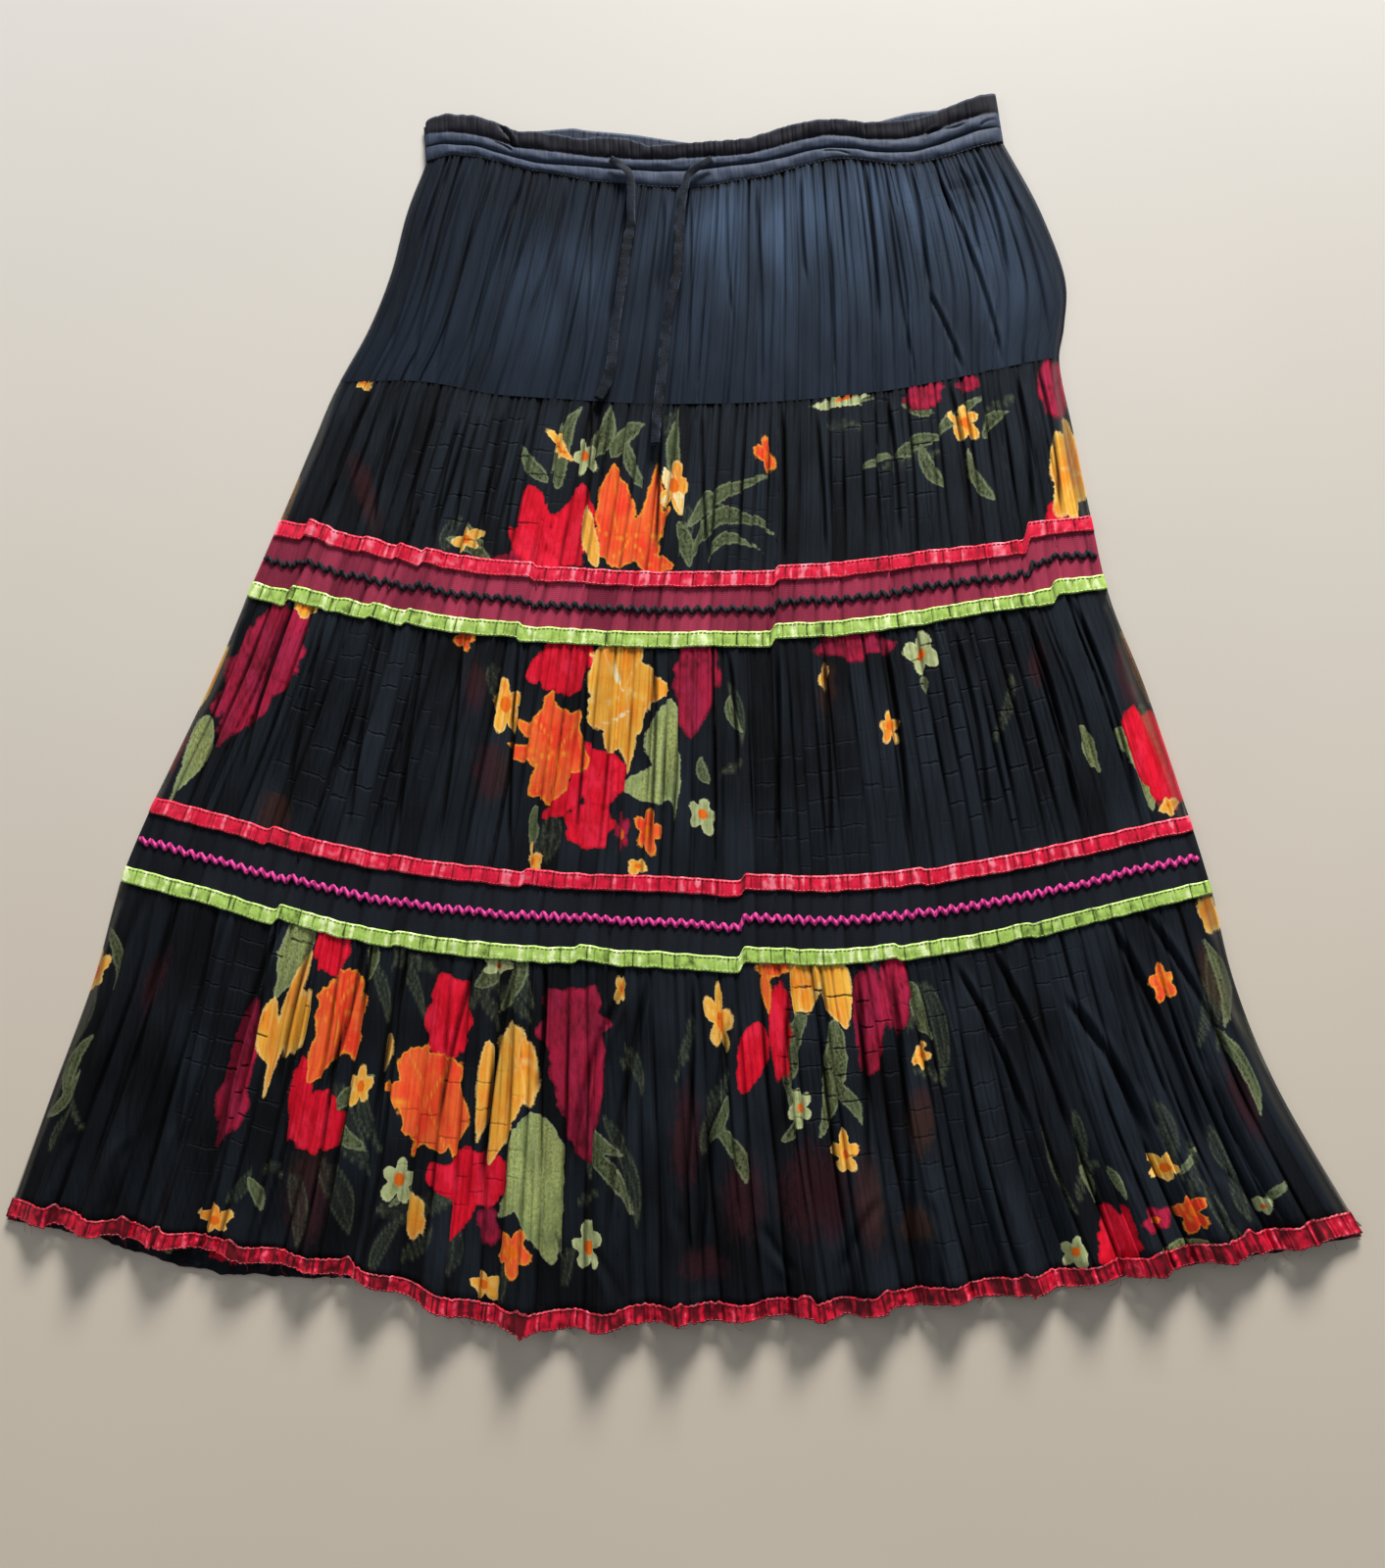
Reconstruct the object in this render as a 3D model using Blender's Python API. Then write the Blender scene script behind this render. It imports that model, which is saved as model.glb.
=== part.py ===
"""Tiered maxi skirt, laid out flat with its front up and its waist towards +Y.

The skirt is a flattened tube.  Each back piece lies flat on the floor plane, and
the matching front piece lies over it in pleats that grow towards a waved hem.
Ribbons and rickrack braid lie on the outer side of the cloth, so they are above
the front pieces and below the back ones.  Origin: on the floor, below the middle
of the laid-out skirt.  Units are metres.
"""
import math
from collections import namedtuple

import bmesh
import bpy
from mathutils import Vector

# Driving sizes of the cloth and trims.
WALL = 0.0016
WAISTBAND_WALL = 0.0022
TRIM_WALL = 0.0010
GAP = 0.0003
RIBBON_WIDTH = 0.0116
HEM_RIBBON_WIDTH = 0.0124
RICKRACK_WIDTH = 0.0030
RICKRACK_SWING = 0.0016
TRIM_LIFT = TRIM_WALL + GAP
TRIM_ZONE = 0.5 * RIBBON_WIDTH + 0.002
FRONT_BASE = TRIM_LIFT + WALL + GAP

# Across the skirt: places from the left edge (0) to the right edge (1).
KNOTS = 38
BACK_KNOTS = 12
HEM_WAVES = 19
PLEATS_TIER = 2
PLEATS_HEM = 3
EDGE_TAPER = 0.05

# Relief of the front cloth above its valleys.
BAND_LIFT = 0.0012
BAND_RELIEF = 0.0014
HEM_FLARE = 0.004

# The drawstring is a narrow folded tape, a plain tube here.
CORD_DIAMETER = 0.004
CORD_STEP = 0.010

# One row for each seam or section: its two ends, and how far up it lies at the
# left end, the quarter, the middle, the three-quarter place and the right end.
Row = namedtuple("Row", "x_left x_right y_left y_quarter y_middle y_three y_right")
ROWS = {
    "waist_top_back": Row(-0.183, 0.243, 0.443, 0.430, 0.419, 0.433, 0.447),
    "waist_top": Row(-0.182, 0.243, 0.441, 0.418, 0.411, 0.424, 0.445),
    "channel_one": Row(-0.182, 0.245, 0.429, 0.408, 0.402, 0.413, 0.431),
    "channel_two": Row(-0.182, 0.246, 0.416, 0.398, 0.392, 0.403, 0.419),
    "waist_bottom": Row(-0.181, 0.248, 0.406, 0.388, 0.381, 0.391, 0.409),
    "yoke_upper": Row(-0.196, 0.275, 0.364, 0.337, 0.330, 0.336, 0.351),
    "yoke_middle": Row(-0.206, 0.290, 0.322, 0.300, 0.293, 0.296, 0.305),
    "yoke_lower": Row(-0.223, 0.289, 0.277, 0.257, 0.251, 0.257, 0.268),
    "yoke_bottom": Row(-0.244, 0.285, 0.238, 0.223, 0.214, 0.220, 0.244),
    "tier_two_middle": Row(-0.262, 0.294, 0.195, 0.168, 0.156, 0.164, 0.188),
    "band_one_top": Row(-0.289, 0.306, 0.128, 0.097, 0.084, 0.093, 0.119),
    "band_one_bottom": Row(-0.308, 0.314, 0.082, 0.053, 0.040, 0.051, 0.078),
    "tier_three_middle": Row(-0.337, 0.341, 0.010, -0.035, -0.053, -0.040, 0.000),
    "band_two_top": Row(-0.377, 0.369, -0.077, -0.121, -0.135, -0.130, -0.093),
    "band_two_bottom": Row(-0.397, 0.381, -0.127, -0.173, -0.188, -0.180, -0.137),
    "tier_four_upper": Row(-0.417, 0.396, -0.204, -0.252, -0.268, -0.255, -0.205),
    "tier_four_lower": Row(-0.444, 0.422, -0.282, -0.335, -0.349, -0.333, -0.274),
    "hem": Row(-0.475, 0.475, -0.373, -0.407, -0.436, -0.414, -0.371),
    "hem_back": Row(-0.475, 0.475, -0.376, -0.411, -0.434, -0.414, -0.374),
}

# Where a fold laps a seam over itself (step) or the cloth bulges (bump), in y.
Shift = namedtuple("Shift", "row place reach step bump")
SHIFTS = [
    Shift("yoke_bottom", 0.12, 0.12, 0.000, 0.005),
    Shift("band_one_top", 0.04, 0.06, 0.004, 0.002),
    Shift("band_one_top", 0.62, 0.08, 0.004, 0.000),
    Shift("band_one_top", 0.92, 0.12, 0.012, 0.000),
    Shift("band_one_bottom", 0.05, 0.06, 0.005, 0.000),
    Shift("band_one_bottom", 0.62, 0.08, 0.005, 0.000),
    Shift("band_one_bottom", 0.94, 0.08, 0.005, 0.000),
    Shift("band_two_top", 0.58, 0.08, 0.006, 0.000),
    Shift("band_two_bottom", 0.15, 0.06, 0.005, 0.000),
    Shift("band_two_bottom", 0.38, 0.10, 0.000, 0.003),
    Shift("band_two_bottom", 0.58, 0.08, 0.008, 0.000),
    Shift("hem", 0.38, 0.14, 0.000, -0.0164),
    Shift("hem", 0.61, 0.05, -0.006, 0.000),
    Shift("hem_back", 0.16, 0.12, 0.000, -0.011),
]

# The cloth lines of each front piece, from its upper seam down.  A line lies at
# `part` of the way from one row to the next; `down` moves it down the skirt.
# lift is the height of its valleys above the front's base, relief of its pleats,
# and wave of its hem waves.  A seam line has the low relief of the trimmed bands.
Line = namedtuple("Line", "upper lower part down seam lift relief wave")
PIECES = {
    "yoke_front": (PLEATS_TIER, [
        Line("waist_bottom", "waist_bottom", 0.0, 0.5 * GAP, False, 0.0010, 0.0014, 0.0),
        Line("yoke_upper", "yoke_upper", 0.0, 0.0, False, 0.0008, 0.0026, 0.0),
        Line("yoke_middle", "yoke_middle", 0.0, 0.0, False, 0.0006, 0.0022, 0.0),
        Line("yoke_lower", "yoke_lower", 0.0, 0.0, False, 0.0006, 0.0022, 0.0),
        Line("yoke_bottom", "yoke_bottom", 0.0, -0.5 * GAP, False, 0.0006, 0.0014, 0.0),
    ]),
    "tier_two_front": (PLEATS_TIER, [
        Line("yoke_bottom", "yoke_bottom", 0.0, 0.5 * GAP, False, 0.0006, 0.0016, 0.0),
        Line("tier_two_middle", "tier_two_middle", 0.0, 0.0, False, 0.0010, 0.0036, 0.0),
        Line("band_one_top", "band_one_top", 0.0, -TRIM_ZONE, True, 0.0, 0.0, 0.0),
        Line("band_one_top", "band_one_top", 0.0, -0.5 * GAP, True, 0.0, 0.0, 0.0),
    ]),
    "band_one_front": (1, [
        Line("band_one_top", "band_one_top", 0.0, 0.5 * GAP, True, 0.0, 0.0, 0.0),
        Line("band_one_bottom", "band_one_bottom", 0.0, -0.5 * GAP, True, 0.0, 0.0, 0.0),
    ]),
    "tier_three_front": (PLEATS_TIER, [
        Line("band_one_bottom", "band_one_bottom", 0.0, 0.5 * GAP, True, 0.0, 0.0, 0.0),
        Line("band_one_bottom", "band_one_bottom", 0.0, TRIM_ZONE, True, 0.0, 0.0, 0.0),
        Line("tier_three_middle", "tier_three_middle", 0.0, 0.0, False, 0.0012, 0.0044, 0.0),
        Line("band_two_top", "band_two_top", 0.0, -TRIM_ZONE, True, 0.0, 0.0, 0.0),
        Line("band_two_top", "band_two_top", 0.0, -0.5 * GAP, True, 0.0, 0.0, 0.0),
    ]),
    "band_two_front": (1, [
        Line("band_two_top", "band_two_top", 0.0, 0.5 * GAP, True, 0.0, 0.0, 0.0),
        Line("band_two_bottom", "band_two_bottom", 0.0, -0.5 * GAP, True, 0.0, 0.0, 0.0),
    ]),
    "tier_four_front": (PLEATS_HEM, [
        Line("band_two_bottom", "band_two_bottom", 0.0, 0.5 * GAP, True, 0.0, 0.0, 0.0),
        Line("band_two_bottom", "band_two_bottom", 0.0, TRIM_ZONE, True, 0.0, 0.0, 0.0),
        Line("tier_four_upper", "tier_four_upper", 0.0, 0.0, False, 0.0012, 0.0036, 0.0022),
        Line("tier_four_lower", "tier_four_lower", 0.0, 0.0, False, 0.0010, 0.0032, 0.0070),
        Line("hem", "hem", 0.0, -HEM_RIBBON_WIDTH, False, 0.0002, 0.0016, 0.0125),
        Line("hem", "hem", 0.0, 0.0, False, 0.0002, 0.0016, 0.0150),
    ]),
}

# The drawstring's two free ends, from the casing down over the yoke.
LEFT_TIE = [
    (-0.0407, 0.3993, 0.0108),
    (-0.0348, 0.3954, 0.0110),
    (-0.0276, 0.3892, 0.0110),
    (-0.0254, 0.3811, 0.0109),
    (-0.0253, 0.3645, 0.0108),
    (-0.0253, 0.3496, 0.0108),
    (-0.0269, 0.3402, 0.0107),
    (-0.0295, 0.3237, 0.0105),
    (-0.0309, 0.3112, 0.0104),
    (-0.0337, 0.2906, 0.0103),
    (-0.0365, 0.2722, 0.0102),
    (-0.0382, 0.2576, 0.0101),
    (-0.0398, 0.2422, 0.0100),
    (-0.0434, 0.2284, 0.0099),
    (-0.0491, 0.2176, 0.0098),
]
RIGHT_TIE = [
    (0.0344, 0.3968, 0.0108),
    (0.0265, 0.3926, 0.0110),
    (0.0186, 0.3869, 0.0110),
    (0.0154, 0.3795, 0.0109),
    (0.0134, 0.3710, 0.0108),
    (0.0114, 0.3596, 0.0108),
    (0.0102, 0.3463, 0.0107),
    (0.0103, 0.3307, 0.0106),
    (0.0086, 0.3110, 0.0105),
    (0.0048, 0.2932, 0.0104),
    (0.0017, 0.2749, 0.0103),
    (-0.0006, 0.2559, 0.0102),
    (-0.0028, 0.2333, 0.0100),
    (-0.0053, 0.2115, 0.0103),
    (-0.0063, 0.1960, 0.0110),
    (-0.0069, 0.1825, 0.0116),
]

# Colours of the cloth and trims, with their roughness.
CHARCOAL = (0.020, 0.024, 0.035, 1.0)
BLACK = (0.008, 0.009, 0.012, 1.0)
BURGUNDY = (0.190, 0.020, 0.050, 1.0)
RED = (0.560, 0.012, 0.035, 1.0)
GREEN = (0.230, 0.420, 0.050, 1.0)
MAGENTA = (0.420, 0.030, 0.220, 1.0)
CLOTH_ROUGHNESS = 0.75
SATIN_ROUGHNESS = 0.32


def clear_scene():
    """Remove every object of the startup scene."""
    for obj in list(bpy.data.objects):
        bpy.data.objects.remove(obj, do_unlink=True)


def fabric(name, colour, roughness):
    """A Principled material for one piece."""
    material = bpy.data.materials.new(name + "_fabric")
    material.use_nodes = True
    shader = material.node_tree.nodes["Principled BSDF"]
    shader.inputs["Base Color"].default_value = colour
    shader.inputs["Roughness"].default_value = roughness
    shader.inputs["Metallic"].default_value = 0.0
    material.diffuse_color = colour
    return material


def curve_through(values, place):
    """Read a smooth curve through evenly spaced values at a place from 0 to 1."""
    spans = len(values) - 1
    span = min(int(place * spans), spans - 1)
    t = place * spans - span
    before = values[span - 1] if span > 0 else 2.0 * values[0] - values[1]
    after = values[span + 2] if span + 2 <= spans else 2.0 * values[-1] - values[-2]
    a, b = values[span], values[span + 1]
    return 0.5 * (2.0 * a + (b - before) * t
                  + (2.0 * before - 5.0 * a + 4.0 * b - after) * t * t
                  + (3.0 * a - before - 3.0 * b + after) * t * t * t)


def shift_at(row_name, place):
    """How far the folds and bulges of a row move it along Y."""
    total = 0.0
    for shift in SHIFTS:
        if shift.row != row_name:
            continue
        away = (place - shift.place) / shift.reach
        if abs(away) < 1.0:
            side = 1.0 if away > 0.0 else -1.0
            total += 0.5 * shift.step * side * (1.0 - abs(away))
            total += shift.bump * (0.5 + 0.5 * math.cos(math.pi * away))
    return total


def row_point(row_name, place, folded=True):
    """The point of a row at a place across the skirt."""
    row = ROWS[row_name]
    x = row.x_left + (row.x_right - row.x_left) * place
    heights = (row.y_left, row.y_quarter, row.y_middle, row.y_three, row.y_right)
    y = curve_through(heights, place)
    if folded:
        y += shift_at(row_name, place)
    return x, y


def straight_between(function, place, spans):
    """Read a function on even knots, with straight runs between them."""
    at = min(int(place * spans + 1e-9), spans - 1)
    t = place * spans - at
    first = function(at / spans)
    last = function((at + 1) / spans)
    return tuple(a + (b - a) * t for a, b in zip(first, last))


def stations(per_knot):
    """Places across the skirt: the knots, and pleat edges unevenly between them."""
    places = []
    for knot in range(KNOTS):
        for inner in range(per_knot):
            nudge = 0.22 * math.sin(7.1 * knot + 3.3 * inner) if inner else 0.0
            places.append((knot + (inner + nudge) / per_knot) / KNOTS)
    places.append(1.0)
    return places


def edge_fade(place):
    """0 at the side folds, 1 away from them."""
    near = min(place, 1.0 - place) / EDGE_TAPER
    near = min(max(near, 0.0), 1.0)
    return near * near * (3.0 - 2.0 * near)


def band_height(place):
    """Height of the trimmed bands' underside: low, long folds."""
    swell = 0.5 + 0.32 * math.sin(37.0 * place + 1.0) + 0.18 * math.sin(71.0 * place)
    return (FRONT_BASE + edge_fade(place) * (BAND_LIFT + BAND_RELIEF * swell),)


def hem_wave(place):
    """0 in the troughs and up to 1 on the crests of the hem's waves."""
    phase = HEM_WAVES * place + 0.16 * math.sin(9.0 * place) + 0.10 * math.sin(23.0 * place)
    size = 0.74 + 0.16 * math.sin(5.3 * place * HEM_WAVES) + 0.10 * math.sin(31.0 * place)
    return size * (0.5 - 0.5 * math.cos(2.0 * math.pi * phase))


def pleat_ridge(index, row_index):
    """Height of a pleat's ridge from 0 to 1; every second station is a valley."""
    if index % 2 == 0:
        return 0.0
    return 0.66 + 0.34 * math.sin(2.3 * index + 1.1 * row_index)


def front_point(line, place, index, row_index):
    """A point on the underside of a front piece."""
    def between_rows(at):
        upper = row_point(line.upper, at)
        lower = row_point(line.lower, at)
        return tuple(a + (b - a) * line.part for a, b in zip(upper, lower))
    x, y = straight_between(between_rows, place, KNOTS)
    if line.seam:
        z = straight_between(band_height, place, KNOTS)[0]
    else:
        wave = hem_wave(place)
        rise = line.lift + line.relief * pleat_ridge(index, row_index) + line.wave * wave
        z = FRONT_BASE + edge_fade(place) * rise
        if line.wave > 0.010:
            y -= HEM_FLARE * wave * edge_fade(place)
    return Vector((x, y - line.down, z))


def cloth_wall(name, lines, thickness, material):
    """Loft an open sheet through lines of points and raise it into a closed wall."""
    sheet = bmesh.new()
    grid = [[sheet.verts.new(point) for point in line] for line in lines]
    for upper, lower in zip(grid, grid[1:]):
        for i in range(len(upper) - 1):
            sheet.faces.new((upper[i], upper[i + 1], lower[i + 1], lower[i]))
    raised = bmesh.ops.extrude_face_region(sheet, geom=sheet.faces[:])
    moved = [item for item in raised["geom"] if isinstance(item, bmesh.types.BMVert)]
    bmesh.ops.translate(sheet, verts=moved, vec=(0.0, 0.0, thickness))
    bmesh.ops.recalc_face_normals(sheet, faces=sheet.faces[:])
    mesh = bpy.data.meshes.new(name)
    sheet.to_mesh(mesh)
    sheet.free()
    mesh.shade_smooth()
    mesh.materials.append(material)
    piece = bpy.data.objects.new(name, mesh)
    collection.objects.link(piece)
    return piece


def front_piece(name, colour):
    """A front panel between two seams."""
    per_knot, lines = PIECES[name]
    places = stations(per_knot)
    grid = []
    for row_index, line in enumerate(lines):
        grid.append([front_point(line, place, index, row_index)
                     for index, place in enumerate(places)])
    cloth_wall(name, grid, WALL, fabric(name, colour, CLOTH_ROUGHNESS))


def waistband_front():
    """The front of the waistband: a frill edge over two corded channels."""
    profile = [
        ("waist_top", "waist_top", 0.0, 0.0, 0.0014),
        ("waist_top", "channel_one", 0.55, 0.0, 0.0022),
        ("channel_one", "channel_one", 0.0, 0.0, 0.0008),
        ("channel_one", "channel_two", 0.5, 0.0, 0.0030),
        ("channel_two", "channel_two", 0.0, 0.0, 0.0008),
        ("channel_two", "waist_bottom", 0.5, 0.0, 0.0030),
        ("waist_bottom", "waist_bottom", 0.0, -0.5 * GAP, 0.0010),
    ]
    places = stations(1)
    grid = []
    for row_index, (upper, lower, part, down, puff) in enumerate(profile):
        line = Line(upper, lower, part, down, False, puff, 0.0, 0.0)
        grid.append([front_point(line, place, 0, row_index) for place in places])
    cloth_wall("waistband_front", grid, WAISTBAND_WALL,
               fabric("waistband_front", CHARCOAL, CLOTH_ROUGHNESS))


def back_piece(name, colour, lines, thickness=WALL):
    """A back panel on the floor; each line is a row, how far down it, and its height."""
    places = [i / BACK_KNOTS for i in range(BACK_KNOTS + 1)]
    grid = []
    for row_name, down, height in lines:
        line = []
        for place in places:
            x, y = row_point(row_name, place, folded=row_name == "hem_back")
            line.append(Vector((x, y - down, height)))
        grid.append(line)
    cloth_wall(name, grid, thickness, fabric(name, colour, CLOTH_ROUGHNESS))


def front_trim(name, row_name, rise, width, colour):
    """A ribbon over a front seam, made from the seam's points and moved out."""
    grid = []
    for side in (-0.5, 0.5):
        line = Line(row_name, row_name, 0.0, side * width, True, 0.0, 0.0, 0.0)
        grid.append([front_point(line, place, 0, 0) + Vector((0.0, 0.0, rise))
                     for place in stations(1)])
    cloth_wall(name, grid, TRIM_WALL, fabric(name, colour, SATIN_ROUGHNESS))


def hem_ribbon_front():
    """The ribbon on the waved front hem, over the last strip of the bottom tier."""
    per_knot, lines = PIECES["tier_four_front"]
    rise = Vector((0.0, 0.0, WALL + GAP))
    grid = []
    for row_index in (len(lines) - 2, len(lines) - 1):
        line = lines[row_index]
        grid.append([front_point(line, place, index, row_index) + rise
                     for index, place in enumerate(stations(per_knot))])
    cloth_wall("hem_ribbon_front", grid, TRIM_WALL,
               fabric("hem_ribbon_front", RED, SATIN_ROUGHNESS))


def rickrack_front(name, upper, lower, colour):
    """A zigzag braid along the middle of a front band."""
    grid = [[], []]
    for index, place in enumerate(stations(4)):
        swing = RICKRACK_SWING * (1.0 if index % 2 else -1.0)
        for side, line_points in zip((-0.5, 0.5), grid):
            line = Line(upper, lower, 0.5, side * RICKRACK_WIDTH + swing, True, 0.0, 0.0, 0.0)
            point = front_point(line, place, 0, 0)
            line_points.append(point + Vector((0.0, 0.0, WALL + GAP)))
    cloth_wall(name, grid, TRIM_WALL, fabric(name, colour, CLOTH_ROUGHNESS))


def rickrack_back(name, upper, lower, colour):
    """The same braid under a back band, drawn straight because it is never seen."""
    grid = []
    for side in (-0.5, 0.5):
        line = []
        for step in range(BACK_KNOTS + 1):
            place = step / BACK_KNOTS
            top = row_point(upper, place, folded=False)
            bottom = row_point(lower, place, folded=False)
            middle_y = 0.5 * (top[1] + bottom[1])
            line.append(Vector((0.5 * (top[0] + bottom[0]), middle_y - side * RICKRACK_WIDTH, 0.0)))
        grid.append(line)
    cloth_wall(name, grid, TRIM_WALL, fabric(name, colour, CLOTH_ROUGHNESS))


def smooth_route(route, step):
    """Points about a step apart on a smooth curve through a route's own points."""
    spans = len(route) - 1
    length = sum((Vector(b) - Vector(a)).length for a, b in zip(route, route[1:]))
    count = max(2, round(length / step))
    axes = list(zip(*route))
    return [tuple(curve_through(axis, i / count) for axis in axes) for i in range(count + 1)]


def tie(name, route):
    """One free end of the drawstring, as a plain tube with filled caps."""
    curve = bpy.data.curves.new(name, "CURVE")
    curve.dimensions = "3D"
    curve.bevel_depth = 0.5 * CORD_DIAMETER
    curve.bevel_resolution = 2
    curve.use_fill_caps = True
    points = smooth_route(route, CORD_STEP)
    spline = curve.splines.new("POLY")
    spline.points.add(len(points) - 1)
    for target, point in zip(spline.points, points):
        target.co = (*point, 1.0)
    curve.materials.append(fabric(name, CHARCOAL, CLOTH_ROUGHNESS))
    piece = bpy.data.objects.new(name, curve)
    collection.objects.link(piece)


def back_pieces():
    """The back of the skirt, flat on the floor and lifted only over its own trims."""
    raised = TRIM_LIFT
    clear = TRIM_ZONE + 0.006
    half = 0.5 * GAP
    back_piece("waistband_back", CHARCOAL, [
        ("waist_top_back", 0.0, 0.0),
        ("waist_bottom", -half, 0.0),
    ], WAISTBAND_WALL)
    back_piece("yoke_back", CHARCOAL, [
        ("waist_bottom", half, 0.0),
        ("yoke_upper", 0.0, 0.0),
        ("yoke_middle", 0.0, 0.0),
        ("yoke_lower", 0.0, 0.0),
        ("yoke_bottom", -half, 0.0),
    ])
    back_piece("tier_two_back", BLACK, [
        ("yoke_bottom", half, 0.0),
        ("tier_two_middle", 0.0, 0.0),
        ("band_one_top", -clear, 0.0),
        ("band_one_top", -TRIM_ZONE, raised),
        ("band_one_top", -half, raised),
    ])
    back_piece("band_one_back", BURGUNDY, [
        ("band_one_top", half, raised),
        ("band_one_bottom", -half, raised),
    ])
    back_piece("tier_three_back", BLACK, [
        ("band_one_bottom", half, raised),
        ("band_one_bottom", TRIM_ZONE, raised),
        ("band_one_bottom", clear, 0.0),
        ("tier_three_middle", 0.0, 0.0),
        ("band_two_top", -clear, 0.0),
        ("band_two_top", -TRIM_ZONE, raised),
        ("band_two_top", -half, raised),
    ])
    back_piece("band_two_back", BLACK, [
        ("band_two_top", half, raised),
        ("band_two_bottom", -half, raised),
    ])
    back_piece("tier_four_back", BLACK, [
        ("band_two_bottom", half, raised),
        ("band_two_bottom", TRIM_ZONE, raised),
        ("band_two_bottom", clear, 0.0),
        ("tier_four_upper", 0.0, 0.0),
        ("tier_four_lower", 0.0, 0.0),
        ("hem_back", -clear - 0.5 * HEM_RIBBON_WIDTH, 0.0),
        ("hem_back", -TRIM_ZONE - 0.5 * HEM_RIBBON_WIDTH, raised),
        ("hem_back", 0.0, raised),
    ])


def back_trims():
    """Ribbons and braid on the outer side of the back, so they lie on the floor."""
    for name, row_name, colour in (
            ("red_ribbon_one_back", "band_one_top", RED),
            ("green_ribbon_one_back", "band_one_bottom", GREEN),
            ("red_ribbon_two_back", "band_two_top", RED),
            ("green_ribbon_two_back", "band_two_bottom", GREEN)):
        back_piece(name, colour, [
            (row_name, -0.5 * RIBBON_WIDTH, 0.0),
            (row_name, 0.5 * RIBBON_WIDTH, 0.0),
        ], TRIM_WALL)
    back_piece("hem_ribbon_back", RED, [
        ("hem_back", -HEM_RIBBON_WIDTH, 0.0),
        ("hem_back", 0.0, 0.0),
    ], TRIM_WALL)
    rickrack_back("black_rickrack_back", "band_one_top", "band_one_bottom", BLACK)
    rickrack_back("magenta_rickrack_back", "band_two_top", "band_two_bottom", MAGENTA)


def front_pieces():
    """The front of the skirt, from the waistband down."""
    waistband_front()
    front_piece("yoke_front", CHARCOAL)
    front_piece("tier_two_front", BLACK)
    front_piece("band_one_front", BURGUNDY)
    front_piece("tier_three_front", BLACK)
    front_piece("band_two_front", BLACK)
    front_piece("tier_four_front", BLACK)


def front_trims():
    """Ribbons and braid sewn on the front, and the drawstring's free ends."""
    over = WALL + GAP
    front_trim("red_ribbon_one_front", "band_one_top", over, RIBBON_WIDTH, RED)
    front_trim("green_ribbon_one_front", "band_one_bottom", over, RIBBON_WIDTH, GREEN)
    front_trim("red_ribbon_two_front", "band_two_top", over, RIBBON_WIDTH, RED)
    front_trim("green_ribbon_two_front", "band_two_bottom", over, RIBBON_WIDTH, GREEN)
    hem_ribbon_front()
    rickrack_front("black_rickrack_front", "band_one_top", "band_one_bottom", BLACK)
    rickrack_front("magenta_rickrack_front", "band_two_top", "band_two_bottom", MAGENTA)
    tie("drawstring_left", LEFT_TIE)
    tie("drawstring_right", RIGHT_TIE)


clear_scene()
collection = bpy.data.collections.new("tiered_maxi_skirt")
bpy.context.scene.collection.children.link(collection)
back_pieces()
back_trims()
front_pieces()
front_trims()
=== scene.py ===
"""Looks of a tiered maxi skirt that lies flat, front up, waist towards +Y."""
import math
from collections import namedtuple

import bmesh
import bpy
import numpy as np
from mathutils import Matrix, Vector


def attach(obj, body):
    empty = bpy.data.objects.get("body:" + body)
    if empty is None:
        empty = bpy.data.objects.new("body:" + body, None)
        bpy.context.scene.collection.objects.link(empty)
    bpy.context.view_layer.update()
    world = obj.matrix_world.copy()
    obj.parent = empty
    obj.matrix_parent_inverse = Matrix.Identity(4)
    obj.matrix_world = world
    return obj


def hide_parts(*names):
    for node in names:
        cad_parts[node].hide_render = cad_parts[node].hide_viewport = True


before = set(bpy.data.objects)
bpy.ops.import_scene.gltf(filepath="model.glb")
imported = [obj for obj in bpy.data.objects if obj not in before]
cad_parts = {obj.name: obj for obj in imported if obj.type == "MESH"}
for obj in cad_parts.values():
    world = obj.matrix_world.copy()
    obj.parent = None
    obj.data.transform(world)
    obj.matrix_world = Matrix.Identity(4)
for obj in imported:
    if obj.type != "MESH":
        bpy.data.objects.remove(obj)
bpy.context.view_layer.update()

# ---- Sizes of the cloth, in metres ----

MM = 0.001
WALL = 0.0016
TRIM_WALL = 0.0010
SATIN_WALL = 0.0004
GAP = 0.0003
RIBBON_WIDTH = 0.0116
HEM_RIBBON_WIDTH = 0.0124
TRIM_LIFT = TRIM_WALL + GAP
FRONT_BASE = TRIM_LIFT + WALL + GAP
CLOTH_MIDDLE = 0.5 * WALL
HEM_WAVES = 19
EDGE_TAPER = 0.05
SIDE_ROLL = 0.004
BACK_LIFT = 0.0007
HEM_FLARE = 0.0016
TAPE_WIDTH = 0.0068
TAPE_THICKNESS = 0.0017
CRACK_PITCH = 0.0185
HAIR_FOLD = 0.0006
BACK_FOLD = 0.0014
FRILL_FOLD = 0.0009
PUCKER_PITCH = 0.0088
HEM_PUCKER_PITCH = 0.0074
HEM_LENGTH = 1.10
KINK_REACH = 0.0036
WAIST_WIDTH = 0.43

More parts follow.
